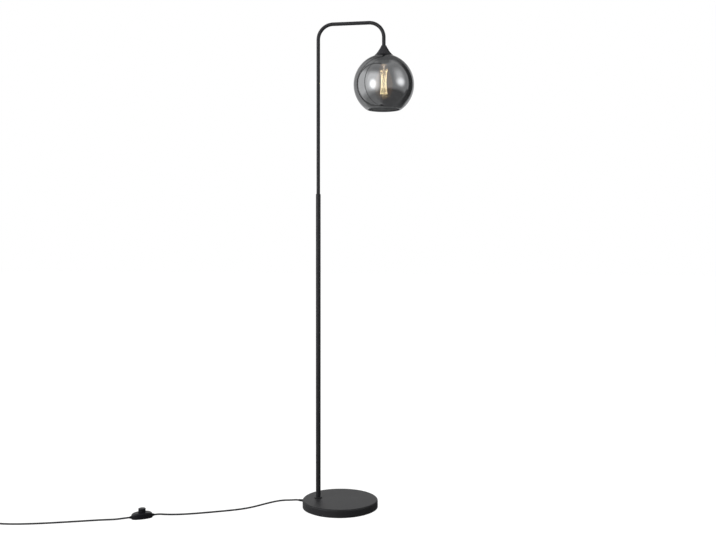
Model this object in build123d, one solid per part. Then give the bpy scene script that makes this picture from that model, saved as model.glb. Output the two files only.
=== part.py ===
"""Globe floor lamp: a round weighted base, a pole, a swan neck and a hanging glass globe.

Frame: the origin is the middle of the base's underside, +X runs from the pole towards the
shade, and +Z is up. All sizes are in millimetres.
"""

import math
import os

from build123d import *

# ---- driving dimensions ------------------------------------------------------------------

# fits and clearances
face_gap = 0.3  # between curved faces of pieces that can be moved apart
thread_fit = 0.1  # radial play of a thread
plain_fit = 0.1  # radial play of a plug or spigot in its bore
hole_play = 0.3  # radial play of a plain hole round a threaded rod

# base
base_diameter = 250.0
base_height = 27.0  # with the pad
base_edge_radius = 5.0
cover_wall = 1.5
pad_thickness = 2.0
pad_inset = 4.0
pole_offset = 74.5  # the pole's axis lies this far behind the base's middle
pocket_radius = 24.0  # underside pocket of the weight, for the nut
pocket_depth = 14.0
cable_slot_width = 13.0
cable_slot_depth = 12.5
washer_radius = 14.0
washer_thickness = 1.5
nut_across_flats = 17.0
nut_thickness = 5.0
rod_below_nut = 0.5
rod_engagement = 16.0

# threads and tubes
thread_radius = 5.0
thread_bore = 4.0
foot_ring_radius = 13.0
foot_ring_height = 3.0
pole_radius = 8.0
pole_wall = 1.0
pole_length = 1000.0
pole_plug_length = 20.0
collar_height = 11.0
collar_chamfer = 1.2
collar_spigot = 20.0
collar_stud = 12.0
neck_radius = 6.0
neck_wall = 1.0
neck_bend_radius = 50.0
neck_rise = 565.0  # from the collar to the centre line of the level arm
neck_drop = 77.0  # from that line down to the cap's top
reach = 221.0  # from the pole's axis to the shade's axis

# glass globe
globe_radius = 100.0
globe_wall = 2.5
globe_flat_radius = 24.3  # of the ground flat on top
globe_hole_radius = 21.0
globe_mouth_radius = 57.0
globe_lip_chamfer = 0.8

# flared cap
cap_rim_radius = 32.0
cap_waist_radius = 17.6
cap_shoulder_radius = 9.6
cap_top_radius = 8.0
cap_height = 34.0
cap_waist_height = 16.6
cap_shoulder_height = 30.5
cap_wall = 1.3
nipple_bore = 3.5
nipple_engagement = 12.0
nipple_in_dome = 9.0
spacer_radius = 6.1

# lamp holder
washer_gap = 0.1
dome_flange_radius = 24.0
dome_flange_thickness = 2.5
dome_radius = 19.5
dome_wall = 2.4
dome_neck_radius = 8.0
dome_shoulder_height = 5.0
dome_cone_height = 15.5
dome_height = 19.3
holder_thread_radius = 19.9
holder_bore = 15.2
holder_length = 30.6
holder_rim_inset = 1.2
holder_spigot_radius = 17.9
holder_spigot_height = 3.4
block_radius = 16.6
block_thickness = 6.8
block_wire_hole = 1.7
block_wire_offset = 8.0
shell_wall = 0.5
shell_length = 25.0
shell_flange_bore = 7.0
shade_ring_radius = 26.0
shade_ring_height = 6.0
shade_ring_grips = 12
shade_ring_grip_radius = 2.2
tongue_width = 6.0
tongue_thickness = 0.6

# bulb
bulb_radius = 29.0
bulb_neck_radius = 12.3
bulb_glass_wall = 0.8
bulb_glass_length = 116.0
bulb_neck_straight = 7.0
contact_drop = 3.6  # from the contact block down to the bulb's end contact
screw_cap_radius = 13.1
screw_cap_wall = 0.5
screw_cap_length = 20.0
insulator_height = 4.0
insulator_top_radius = 6.0
tip_radius = 4.6
tip_height = 2.0
cap_over_glass = 5.5
stem_flare_thickness = 1.5
stem_radius = 3.6
stem_length = 22.0
mount_rod_radius = 1.5
mount_bead_radius = 2.6
strand_count = 8
strand_radius = 0.35
support_radius = 0.3
cage_radius = 11.5
cage_twist = 130.0  # degrees from the foot of a strand to its top
cage_top_drop = 23.0  # below the top of the glass
cage_height = 76.0

# mains cord
cord_diameter = 5.5
cable_diameter = 5.0  # the cable inside the lamp
cable_bend_radius = 6.5
cord_lead = 7.0  # straight run of cord out of a sleeve
exit_angle = 170.0  # of the gland round the base, from +X towards +Y
exit_height = 8.0
gland_hole_radius = 4.6
gland_collar_radius = 6.0
gland_flange = 2.0
gland_collar = 2.5
sleeve_root_radius = 4.8
sleeve_tip_radius = 3.4
gland_sleeve = 22.0
sleeve_rings = 4
sleeve_ring_groove = 0.6

# foot switch
switch_x = -600.0
switch_y = -226.5
switch_angle = 33.0
switch_half_length = 33.0
switch_half_width = 17.5
switch_end_half_width = 6.5
switch_height = 20.0
switch_end_height = 13.0
switch_end_lift = 1.0
switch_wall = 2.0
switch_axis_height = 7.0
switch_corner = 4.2
button_radius = 11.5
button_top = 32.0
button_roof = 2.5
button_well_radius = 7.5
button_dome = 1.2
button_flange_radius = 13.2
button_flange_thickness = 1.5
button_flange_drop = 0.8  # below the middle of the housing's roof
button_play = 0.4
button_travel = 3.5
spring_mean_radius = 5.0
spring_wire = 1.0
spring_turns = 6
carrier_radius = 9.0
carrier_height = 4.0
carrier_rim = 1.6
clamp_length = 8.0
clamp_width = 12.0
clamp_height = 6.5
clamp_screw_radius = 2.6
clamp_screw_height = 1.2
housing_screw_x = 15.5  # one screw each way from the middle
housing_screw_y = 9.8
housing_screw_radius = 1.5
housing_screw_head = 2.8
housing_screw_length = 12.0
sleeve_outside = 6.0
sleeve_inside = 14.0
sleeve_flange = 1.3
sleeve_flange_width = 13.0
sleeve_flange_height = 8.4
sleeve_hole_radius = 4.4

# plug
plug_length = 36.0
plug_width = 35.0
plug_height = 14.0
plug_rear_width = 15.0
plug_shoulder = 16.0
plug_nose_chamfer = 4.5
pin_radius = 2.0
pin_length = 19.0
pin_anchor = 8.0
pin_anchor_radius = 1.7
pin_spacing = 18.6
plug_sleeve = 28.0
tail_length = 50.0

# coil of spare cord
coil_start = (-1050.0, -362.0)
coil_outer_radius = 40.0
coil_pitch = 6.2  # between turns, and between layers
coil_lower_turns = 5  # half turns in the lower layer
coil_upper_turns = 4  # half turns in the upper layer
tie_thickness = 0.8
tie_width = 7.0
tie_tail = 12.0
tie_corner = 3.0

# ---- derived sizes -----------------------------------------------------------------------

base_radius = base_diameter / 2
cord_radius = cord_diameter / 2
cable_radius = cable_diameter / 2
stud_radius = thread_radius - thread_fit
neck_bore = neck_radius - neck_wall
neck_stud_radius = neck_bore - thread_fit
pole_bore = pole_radius - pole_wall
weight_top = base_height - cover_wall
pocket_roof = pad_thickness + pocket_depth
nut_top = pocket_roof - washer_thickness
rod_bottom = nut_top - nut_thickness - rod_below_nut
pole_bottom = base_height + foot_ring_height
pole_top = pole_bottom + pole_length
collar_top = pole_top + collar_height
arm_height = collar_top + neck_rise
shade_x = reach - pole_offset
globe_inner = globe_radius - globe_wall
globe_top_flat = math.sqrt(globe_radius**2 - globe_flat_radius**2)
cap_rim_inner = cap_rim_radius - cap_wall
cap_top = arm_height - neck_drop
cap_bottom = cap_top - cap_height
globe_centre_height = cap_bottom - face_gap - math.sqrt(globe_radius**2 - cap_rim_inner**2)
cap_roof = cap_top - cap_wall
dome_bottom = globe_centre_height + globe_top_flat + washer_gap
dome_top = dome_bottom + dome_height
holder_bottom = dome_bottom - holder_length
block_top = dome_bottom + holder_spigot_height
block_bottom = block_top - block_thickness
bulb_top = block_bottom - contact_drop
insulator_top = bulb_top - tip_height
screw_cap_top = insulator_top - insulator_height
screw_cap_bottom = screw_cap_top - screw_cap_length
glass_top = screw_cap_bottom + cap_over_glass
glass_bottom = glass_top - bulb_glass_length
cage_top = glass_top - cage_top_drop
cage_bottom = cage_top - cage_height
shell_inner = screw_cap_radius + face_gap
button_flange_top = switch_height - switch_wall - button_flange_drop
button_flange_bottom = button_flange_top - button_flange_thickness
floor_top = switch_wall + face_gap  # inside the switch, above its lower wall
tie_gap = face_gap
coil_height = tie_thickness + tie_gap + cord_radius

# ---- routes of the cord, chosen by hand from how it lies ----------------------------------

base_to_switch = [
    (-161.0, 29.6, 6.9),
    (-180.0, 33.6, 4.0),
    (-202.0, 32.6, 2.9),
    (-221.5, 19.5, 2.75),
    (-240.0, -1.0, 2.75),
    (-259.0, -26.0, 2.75),
    (-279.5, -55.0, 2.75),
    (-305.0, -81.5, 2.75),
    (-341.0, -105.5, 2.75),
    (-385.5, -128.5, 2.75),
    (-431.0, -151.5, 2.75),
    (-477.0, -171.5, 2.75),
    (-515.0, -182.5, 2.9),
    (-539.5, -190.0, 4.6),
    (-551.5, -195.3, 6.4),
]
switch_to_coil = [
    (-651.0, -258.0, 6.5),
    (-666.5, -262.8, 4.9),
    (-685.0, -265.0, 3.2),
    (-707.0, -269.5, 2.75),
    (-735.0, -279.5, 2.75),
    (-773.0, -294.5, 2.75),
    (-818.0, -312.0, 2.75),
    (-866.0, -330.0, 2.75),
    (-914.0, -345.5, 2.75),
    (-962.0, -357.2, 2.75),
    (-1005.0, -362.6, 3.0),
]

# ---- helpers -----------------------------------------------------------------------------

on_floor = (Align.CENTER, Align.CENTER, Align.MIN)


def turned(*outline):
    """Solid of revolution about Z from the (radius, height) corners of its half section."""
    section = make_face(Polyline(*[(r, 0, z) for r, z in outline], close=True))
    return revolve(section, Axis.Z)


def ring(inner, outer, bottom, top):
    """Round tube about Z."""
    return turned((inner, bottom), (outer, bottom), (outer, top), (inner, top))


def disc(radius, bottom, top):
    """Round bar about Z."""
    return Pos(0, 0, bottom) * Cylinder(radius, top - bottom, align=on_floor)


def polar(radius, degrees, height):
    """Point at a radius and an angle round Z."""
    turn = math.radians(degrees)
    return (radius * math.cos(turn), radius * math.sin(turn), height)


def round_section(path, radius):
    """Circle square to the start of a path."""
    return Plane(origin=path @ 0, z_dir=path % 0) * Circle(radius)


def corner_radii(points):
    """Radius of the arc at each corner of a route, as large as its two runs allow."""
    radii = []
    for before, here, after in zip(points, points[1:], points[2:]):
        run_in = Vector(here) - Vector(before)
        run_out = Vector(after) - Vector(here)
        half_turn = math.radians(run_in.get_angle(run_out)) / 2
        shorter = min(run_in.length, run_out.length)
        radii.append(0.45 * shorter / math.tan(half_turn))
    return radii


def laid_cord(name, points, diameter):
    """Round cord along straight runs joined by tangent arcs."""
    radii = corner_radii(points)
    path = FilletPolyline(*points, radius=radii)
    solid = sweep(round_section(path, diameter / 2), path=path)
    share = solid.volume / (math.pi * (diameter / 2) ** 2 * path.length)
    print(f"{name}: length {path.length:.0f}, volume share {share:.4f}")
    print("  radii", [round(radius) for radius in radii])
    return solid


def at_pole(solid):
    """Move a piece built about Z onto the pole's axis."""
    return Pos(-pole_offset, 0, 0) * solid


def at_shade(solid):
    """Move a piece built about Z onto the shade's axis."""
    return Pos(shade_x, 0, 0) * solid


def tapered_sleeve(length):
    """Strain relief along +X from x = 0, ringed near its root and narrowing to its tip."""
    taper = (sleeve_tip_radius - sleeve_root_radius) / length
    spacing = length / (2 * sleeve_rings + 2)
    outline = [(0, 0), (sleeve_root_radius, 0)]
    for index in range(sleeve_rings):
        start = (2 * index + 1) * spacing
        end = start + spacing
        for place, depth in (
            (start, 0),
            (start, sleeve_ring_groove),
            (end, sleeve_ring_groove),
            (end, 0),
        ):
            outline.append((sleeve_root_radius + taper * place - depth, place))
    outline += [(sleeve_tip_radius, length), (0, length)]
    return Rot(0, 90, 0) * turned(*outline)


# ---- base --------------------------------------------------------------------------------


def in_exit_direction(solid):
    """Turn a piece built along +X to face where the cord leaves the base."""
    return Rot(0, 0, exit_angle) * solid


def base_cover():
    """Pressed steel cover, open underneath."""
    outer = disc(base_radius, pad_thickness, base_height)
    outer = fillet(outer.edges().group_by(Axis.Z)[-1], base_edge_radius)
    inner = disc(base_radius - cover_wall, pad_thickness, weight_top)
    inner = fillet(inner.edges().group_by(Axis.Z)[-1], base_edge_radius - cover_wall)
    rod_hole = at_pole(disc(thread_radius + hole_play, pad_thickness, base_height + 1))
    cord_hole = Pos(0, 0, exit_height) * Rot(0, 90, 0) * disc(gland_hole_radius, 0, base_radius + 1)
    return outer - inner - rod_hole - in_exit_direction(cord_hole)


def base_weight():
    """Cast weight with an underside pocket for the nut and a slot for the cable."""
    radius = base_radius - cover_wall - face_gap
    weight = disc(radius, pad_thickness, weight_top)
    weight = fillet(weight.edges().group_by(Axis.Z)[-1], base_edge_radius - cover_wall + face_gap)
    pocket = at_pole(disc(pocket_radius, pad_thickness, pocket_roof))
    rod_hole = at_pole(disc(thread_radius + hole_play, pocket_roof, weight_top + 1))
    slot = Pos(pole_offset, 0, pad_thickness) * Box(
        base_radius - pole_offset,
        cable_slot_width,
        cable_slot_depth,
        align=(Align.MIN, Align.CENTER, Align.MIN),
    )
    return weight - pocket - rod_hole - in_exit_direction(slot)


def base_pad():
    """Foam pad that the lamp stands on."""
    pad = disc(base_radius - pad_inset, 0, pad_thickness)
    return chamfer(pad.edges().group_by(Axis.Z)[0], pad_thickness / 5)


def base_rod():
    """Hollow threaded rod from under the weight into the pole's foot."""
    return at_pole(ring(thread_bore, stud_radius, rod_bottom, pole_bottom + rod_engagement))


def base_washer():
    """Washer under the weight."""
    return at_pole(ring(thread_radius + hole_play, washer_radius, nut_top, pocket_roof))


def base_nut():
    """Hexagon nut that pulls cover, weight and pole together."""
    hexagon = RegularPolygon(nut_across_flats / 2, 6, major_radius=False) - Circle(thread_radius)
    nut = extrude(hexagon, nut_thickness)
    return at_pole(Pos(0, 0, nut_top - nut_thickness) * nut)


def foot_ring():
    """Turned ring between the base and the pole."""
    body = ring(thread_radius + hole_play, foot_ring_radius, base_height, pole_bottom)
    top_rim = body.edges().filter_by(GeomType.CIRCLE).group_by(Axis.Z)[-1].sort_by(SortBy.LENGTH)[-1]
    return at_pole(fillet(top_rim, foot_ring_height / 2))


def cord_gland():
    """Moulded gland in the base's side, with a tapered sleeve outside."""
    inside = base_radius - cover_wall
    flange = disc(gland_collar_radius, inside - gland_flange, inside - face_gap)
    neck = disc(gland_hole_radius - plain_fit, inside - gland_flange, base_radius + gland_collar)
    collar = disc(gland_collar_radius, base_radius + face_gap / 3, base_radius + gland_collar)
    sleeve = Pos(base_radius + gland_collar, 0, 0) * tapered_sleeve(gland_sleeve)
    gland = Rot(0, 90, 0) * (flange + neck + collar) + sleeve
    return in_exit_direction(Pos(0, 0, exit_height) * gland)


# ---- pole and neck -----------------------------------------------------------------------


def pole_plug():
    """Threaded plug in the pole's foot."""
    return at_pole(
        ring(thread_radius, pole_bore - plain_fit, pole_bottom, pole_bottom + pole_plug_length)
    )


def lower_pole():
    """Straight steel tube."""
    return at_pole(ring(pole_bore, pole_radius, pole_bottom, pole_top))


def pole_collar():
    """Turned collar where the pole steps down: a spigot below, a threaded stud above."""
    spigot = pole_bore - plain_fit
    return at_pole(
        turned(
            (thread_bore, pole_top - collar_spigot),
            (spigot, pole_top - collar_spigot),
            (spigot, pole_top),
            (pole_radius, pole_top),
            (pole_radius, collar_top - collar_chamfer),
            (pole_radius - collar_chamfer, collar_top),
            (neck_stud_radius, collar_top),
            (neck_stud_radius, collar_top + collar_stud),
            (thread_bore, collar_top + collar_stud),
        )
    )


def neck_line(bottom, end):
    """Centre line up from a height on the pole's axis, over, and down to a height at the shade."""
    return FilletPolyline(
        (-pole_offset, 0, bottom),
        (-pole_offset, 0, arm_height),
        (shade_x, 0, arm_height),
        (shade_x, 0, end),
        radius=neck_bend_radius,
    )


def swan_neck():
    """Thin tube bent twice, from the collar to the cap."""
    path = neck_line(collar_top, cap_top)
    wall = Plane(origin=path @ 0, z_dir=path % 0) * (Circle(neck_radius) - Circle(neck_bore))
    return sweep(wall, path=path)


def lamp_cable():
    """Cable from the gland, through rod, pole and neck, to the lamp holder."""
    inner_end = base_radius - cover_wall - gland_flange
    low = pad_thickness + face_gap + cable_radius
    path = FilletPolyline(
        polar(inner_end, exit_angle, exit_height),
        polar((inner_end + pole_offset) / 2 + cable_diameter, exit_angle, exit_height),
        (-pole_offset, 0, low),
        (-pole_offset, 0, arm_height),
        (shade_x, 0, arm_height),
        (shade_x, 0, block_top + face_gap),
        radius=[4 * cable_diameter, cable_bend_radius, neck_bend_radius, neck_bend_radius],
    )
    return sweep(round_section(path, cable_radius), path=path)


# ---- cap, globe and lamp holder ----------------------------------------------------------


def bell(inset):
    """Flared bell about Z from z = 0, its outline moved inwards by an inset."""
    lowered = cap_height - inset
    flare = ThreePointArc(
        (cap_rim_radius - inset, 0, 0),
        (cap_waist_radius - inset, 0, cap_waist_height - inset / 2),
        (cap_shoulder_radius - inset, 0, cap_shoulder_height - inset / 2),
    )
    rest = Polyline(
        (cap_shoulder_radius - inset, 0, cap_shoulder_height - inset / 2),
        (cap_top_radius - inset, 0, lowered),
        (0, 0, lowered),
        (0, 0, 0),
        (cap_rim_radius - inset, 0, 0),
    )
    return revolve(make_face(flare + rest), Axis.Z)


def shade_cap():
    """Spun flared cap on top of the globe."""
    hole = disc(neck_stud_radius + hole_play, 0, cap_height + 1)
    return at_shade(Pos(0, 0, cap_bottom) * (bell(0) - bell(cap_wall) - hole))


def cap_nipple():
    """Hollow nipple that hangs the lamp holder from the neck."""
    low = dome_top - nipple_in_dome
    return at_shade(ring(nipple_bore, neck_stud_radius, low, cap_top + nipple_engagement))


def cap_spacer():
    """Tube between the lamp holder and the cap's roof."""
    return at_shade(ring(neck_stud_radius + plain_fit, spacer_radius, dome_top, cap_roof))


def globe_shade():
    """Blown globe, ground flat round its hole, with the edges of its mouth ground off."""
    mouth = -math.sqrt(globe_radius**2 - globe_mouth_radius**2)
    hole_inner = math.sqrt(globe_inner**2 - globe_hole_radius**2)
    mouth_inner = math.sqrt(globe_inner**2 - mouth**2)
    outer_arc = ThreePointArc(
        (globe_flat_radius, 0, globe_top_flat), (globe_radius, 0, 0), (globe_mouth_radius, 0, mouth)
    )
    inner_arc = ThreePointArc(
        (mouth_inner, 0, mouth), (globe_inner, 0, 0), (globe_hole_radius, 0, hole_inner)
    )
    lip = Line((globe_mouth_radius, 0, mouth), (mouth_inner, 0, mouth))
    top = Polyline(
        (globe_hole_radius, 0, hole_inner),
        (globe_hole_radius, 0, globe_top_flat),
        (globe_flat_radius, 0, globe_top_flat),
    )
    glass = revolve(make_face(outer_arc + lip + inner_arc + top), Axis.Z)
    rims = glass.edges().filter_by(GeomType.CIRCLE).group_by(Axis.Z)[0]
    glass = chamfer(rims, globe_lip_chamfer)
    return at_shade(Pos(0, 0, globe_centre_height) * glass)


def holder_dome():
    """Upper half of the lamp holder: a flange on the glass and a threaded neck."""
    inner = dome_radius - dome_wall
    outline = [
        (holder_spigot_radius + plain_fit, 0),
        (dome_flange_radius, 0),
        (dome_flange_radius, dome_flange_thickness),
        (dome_radius, dome_flange_thickness),
        (dome_radius, dome_shoulder_height),
        (dome_neck_radius, dome_cone_height),
        (dome_neck_radius, dome_height),
        (thread_radius, dome_height),
        (thread_radius, dome_height - nipple_in_dome),
        (inner - holder_spigot_height, dome_shoulder_height),
        (inner, holder_spigot_height + plain_fit),
        (holder_spigot_radius + plain_fit, holder_spigot_height + plain_fit),
    ]
    return at_shade(Pos(0, 0, dome_bottom) * turned(*outline))


def holder_body():
    """Lower half of the lamp holder, threaded outside for the shade ring."""
    pocket = block_radius + plain_fit
    return at_shade(
        turned(
            (holder_bore, holder_bottom),
            (holder_thread_radius - holder_rim_inset, holder_bottom),
            (holder_thread_radius, holder_bottom + holder_rim_inset),
            (holder_thread_radius, dome_bottom),
            (holder_spigot_radius, dome_bottom),
            (holder_spigot_radius, block_top),
            (pocket, block_top),
            (pocket, block_bottom),
            (holder_bore, block_bottom),
        )
    )


def holder_block():
    """Ceramic contact block inside the lamp holder."""
    block = disc(block_radius, block_bottom, block_top)
    for side in (-1, 1):
        hole = disc(block_wire_hole, block_bottom - 1, block_top + 1)
        block -= Pos(side * block_wire_offset, 0, 0) * hole
    return at_shade(block)


def holder_shell():
    """Brass screw shell, hung from the contact block by its flange."""
    outer = shell_inner + shell_wall
    return at_shade(
        turned(
            (shell_inner, block_bottom - shell_length),
            (outer, block_bottom - shell_length),
            (outer, block_bottom),
            (shell_flange_bore, block_bottom),
            (shell_flange_bore, block_bottom - shell_wall),
            (shell_inner, block_bottom - shell_wall),
        )
    )


def holder_contact():
    """Sprung centre contact, bent from strip."""
    touch = bulb_top + face_gap
    half = shell_flange_bore - 1
    outline = Polyline(
        (-half, 0, block_bottom),
        (-half, 0, touch),
        (half / 2, 0, touch),
        (half / 2, 0, touch + tongue_thickness),
        (tongue_thickness - half, 0, touch + tongue_thickness),
        (tongue_thickness - half, 0, block_bottom),
        close=True,
    )
    strip = extrude(make_face(outline), tongue_width / 2, both=True)
    return at_shade(strip)


def shade_ring():
    """Ring nut with finger grips that clamps the glass from inside."""
    top = globe_centre_height + math.sqrt(globe_inner**2 - shade_ring_radius**2) - face_gap
    bottom = top - shade_ring_height
    body = ring(holder_thread_radius + thread_fit, shade_ring_radius, bottom, top)
    for index in range(shade_ring_grips):
        centre = polar(shade_ring_radius + shade_ring_grip_radius / 2, index * 360 / shade_ring_grips, 0)
        body -= Pos(*centre) * disc(shade_ring_grip_radius, bottom - 1, top + 1)
    return at_shade(body)


# ---- bulb --------------------------------------------------------------------------------


def bulb_outline(inset):
    """Half section of the bulb's glass about Z, moved inwards by an inset, down from z = 0."""
    neck = bulb_neck_radius - inset
    belly = bulb_radius - inset
    belly_drop = bulb_glass_length - bulb_radius
    flank = Spline(
        (neck, 0, -bulb_neck_straight),
        (belly, 0, -belly_drop),
        tangents=[(0.12, 0, -1), (0, 0, -1)],
        tangent_scalars=[1.1, 1.6],
    )
    foot = Plane.XZ * CenterArc((0, -belly_drop), belly, 0, -90)
    rest = Polyline(
        (0, 0, -belly_drop - belly), (0, 0, 0), (neck, 0, 0), (neck, 0, -bulb_neck_straight)
    )
    return make_face(flank + foot + rest)


def bulb_glass():
    """Tear-drop glass, closed at its foot and sealed to the stem at its neck."""
    outer = revolve(bulb_outline(0), Axis.Z)
    inner = revolve(bulb_outline(bulb_glass_wall), Axis.Z)
    neck_opening = disc(bulb_neck_radius - bulb_glass_wall, -bulb_glass_wall, 1)
    return at_shade(Pos(0, 0, glass_top) * (outer - inner - neck_opening))


def bulb_cap():
    """Brass screw cap."""
    inner = screw_cap_radius - screw_cap_wall
    return at_shade(
        turned(
            (inner, screw_cap_bottom),
            (screw_cap_radius, screw_cap_bottom),
            (screw_cap_radius, screw_cap_top - screw_cap_wall),
            (screw_cap_radius - 2 * screw_cap_wall, screw_cap_top),
            (insulator_top_radius + insulator_height, screw_cap_top),
            (insulator_top_radius + insulator_height, screw_cap_top - screw_cap_wall),
            (inner, screw_cap_top - 2 * screw_cap_wall),
        )
    )


def bulb_insulator():
    """Black glass cone between the screw cap and the end contact."""
    return at_shade(
        turned(
            (0, screw_cap_top),
            (insulator_top_radius + insulator_height, screw_cap_top),
            (insulator_top_radius, insulator_top),
            (0, insulator_top),
        )
    )


def bulb_tip():
    """End contact with a soldered dome."""
    tip = disc(tip_radius, insulator_top, bulb_top)
    return at_shade(fillet(tip.edges().group_by(Axis.Z)[-1], tip_height / 2))


def bulb_stem():
    """Glass stem: flare, pinched tube, and a rod with two beads for the supports."""
    flare_radius = bulb_neck_radius - bulb_glass_wall - face_gap
    stem_bottom = glass_top - stem_length
    rod_bottom_end = cage_bottom + mount_bead_radius
    body = turned(
        (0, glass_top),
        (flare_radius, glass_top),
        (flare_radius, glass_top - stem_flare_thickness),
        (stem_radius, glass_top - stem_length / 3),
        (stem_radius, stem_bottom),
        (mount_rod_radius, stem_bottom - stem_radius),
        (mount_rod_radius, rod_bottom_end),
        (0, rod_bottom_end),
    )
    for height in (cage_top - mount_bead_radius, cage_bottom + mount_bead_radius):
        body += Pos(0, 0, height) * Sphere(mount_bead_radius)
    return at_shade(body)


def wire(start, end, radius):
    """Straight round wire between two points."""
    run = Vector(end) - Vector(start)
    return Plane(origin=start, z_dir=run) * Cylinder(radius, run.length, align=on_floor)


def cage_point(index, top):
    """Where a strand of the filament cage meets its hook, at the top or the bottom."""
    foot = index * 360 / strand_count
    if top:
        return polar(cage_radius, foot + cage_twist, cage_top)
    return polar(cage_radius, foot, cage_bottom)


def bulb_filament():
    """One filament run up and down between the hooks, every strand leaning the same way."""
    points = []
    for index in range(strand_count):
        ends = [cage_point(index, False), cage_point(index, True)]
        points += ends if index % 2 == 0 else ends[::-1]
    filament = Part()
    for start, end in zip(points, points[1:]):
        filament += wire(start, end, strand_radius)
    for point in points:
        filament += Pos(*point) * Sphere(strand_radius)
    return at_shade(filament)


def bulb_supports():
    """Support wires from the beads to the middle of each hooked stretch."""
    supports = []
    for index in range(strand_count - 1):
        top = index % 2 == 0
        here = Vector(cage_point(index, top))
        there = Vector(cage_point(index + 1, top))
        middle = (here + there) / 2
        bead = cage_top - mount_bead_radius if top else cage_bottom + mount_bead_radius
        outwards = Vector(middle.X, middle.Y, 0).normalized()
        start = outwards * (mount_bead_radius - support_radius) + Vector(0, 0, bead)
        supports.append(wire(start, middle, support_radius))
    return at_shade(Compound(children=supports))


# ---- foot switch -------------------------------------------------------------------------


def at_switch(solid):
    """Move a piece built along X at the origin to where the switch lies."""
    return Pos(switch_x, switch_y, 0) * Rot(0, 0, switch_angle) * solid


def along(share, middle, end):
    """Value that swells from the switch's ends to its middle, as a circle's arc does."""
    return end + (middle - end) * math.sqrt(max(1 - share**2, 0))


def switch_section(share, inset):
    """Rounded section of the switch square to X, at a share of its half length."""
    width = 2 * (along(share, switch_half_width, switch_end_half_width) - inset)
    top = along(share, switch_height, switch_end_height) - inset
    bottom = along(share, 0, switch_end_lift) + inset
    corner = min(switch_corner, (top - bottom) / 2 - 0.2)
    place = share * switch_half_length
    plane = Plane(origin=(place, 0, (top + bottom) / 2), x_dir=(0, 1, 0), z_dir=(1, 0, 0))
    return plane * RectangleRounded(width, top - bottom, corner - inset / 2)


def switch_form(inset, reach_share):
    """Almond body of the switch, lofted through seven sections."""
    shares = [step / 3 for step in (-3, -2.4, -1.3, 0, 1.3, 2.4, 3)]
    return loft([switch_section(share * reach_share, inset) for share in shares])


def switch_hollow():
    """Room inside the switch, closed by its end walls."""
    return switch_form(switch_wall, 1 - 2 * switch_wall / switch_half_length)


def sleeve_holes(radius):
    """Holes through both ends of the switch for the sleeves."""
    bar = disc(radius, -switch_half_length - 1, switch_half_length + 1)
    return Pos(0, 0, switch_axis_height) * Rot(0, 90, 0) * bar


def below_split(solid, lower):
    """Keep the part of a solid below or above the switch's split line."""
    size = 4 * switch_half_length
    z_align = Align.MAX if lower else Align.MIN
    block = Pos(0, 0, switch_axis_height) * Box(
        size, size, size, align=(Align.CENTER, Align.CENTER, z_align)
    )
    return solid & block


def screw_places():
    """Middle of each housing screw."""
    return [Pos(side * housing_screw_x, -side * housing_screw_y, 0) for side in (-1, 1)]


def switch_base():
    """Lower housing of the foot switch."""
    shell = switch_form(0, 1) - switch_hollow() - sleeve_holes(sleeve_hole_radius)
    lower = below_split(shell, True)
    for place in screw_places():
        boss = disc(housing_screw_head, switch_wall / 2, switch_axis_height)
        bore = disc(housing_screw_radius + plain_fit, 0, switch_axis_height + 1)
        sink = disc(housing_screw_head - housing_screw_radius / 2, 0, switch_wall)
        lower = lower + place * boss - place * bore - place * sink
    return at_switch(lower)


def switch_cover():
    """Upper housing of the foot switch, with the button's hole."""
    shell = switch_form(0, 1) - switch_hollow() - sleeve_holes(sleeve_hole_radius)
    upper = below_split(shell, False)
    upper -= disc(button_radius + button_play, switch_axis_height, switch_height + 1)
    for place in screw_places():
        post = place * disc(housing_screw_head, switch_axis_height, switch_height)
        bore = place * disc(
            housing_screw_radius + plain_fit, switch_axis_height - 1, housing_screw_length + face_gap
        )
        upper = upper + (post & switch_form(0, 1)) - bore
    return at_switch(upper)


def switch_button():
    """Round button with a retaining flange and a well for the spring."""
    body = disc(button_radius, button_flange_bottom, button_top)
    body = fillet(body.edges().group_by(Axis.Z)[-1], button_dome)
    body += disc(button_flange_radius, button_flange_bottom, button_flange_top)
    well = disc(button_well_radius, button_flange_bottom - 1, button_top - button_roof)
    return at_switch(body - well)


def switch_carrier():
    """Round moulded carrier that seats the spring under the button."""
    carrier = disc(carrier_radius, floor_top, floor_top + carrier_height)
    seat = disc(spring_mean_radius + 2 * spring_wire, floor_top + carrier_rim, switch_height)
    return at_switch(carrier - seat)


def spring_bottom():
    """Height of the spring's seat."""
    return floor_top + carrier_rim


def spring_top():
    """Height of the button's roof that the spring pushes on."""
    return button_top - button_roof


def switch_spring():
    """Return spring, wound between the carrier's seat and the button's roof."""
    length = spring_top() - spring_bottom() - spring_wire - 2 * face_gap
    path = Helix(pitch=length / spring_turns, height=length, radius=spring_mean_radius)
    coil = sweep(round_section(path, spring_wire / 2), path=path)
    return at_switch(Pos(0, 0, spring_bottom() + spring_wire / 2 + face_gap) * coil)


def clamp_place(side):
    """Middle of the clamp on one side of the switch."""
    sleeve_start = switch_half_length - sleeve_inside
    return Pos(side * (sleeve_start - clamp_length / 2 - face_gap), 0, floor_top)


def switch_clamps():
    """Brass clamps that join the cord's cores to the contacts."""
    clamps = []
    for side in (-1, 1):
        body = Box(clamp_length, clamp_width, clamp_height, align=on_floor)
        for row in (-1, 1):
            head = disc(clamp_screw_radius, clamp_height, clamp_height + clamp_screw_height)
            body += Pos(0, row * clamp_width / 4, 0) * head
        clamps.append(clamp_place(side) * body)
    return at_switch(Compound(children=clamps))


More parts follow.
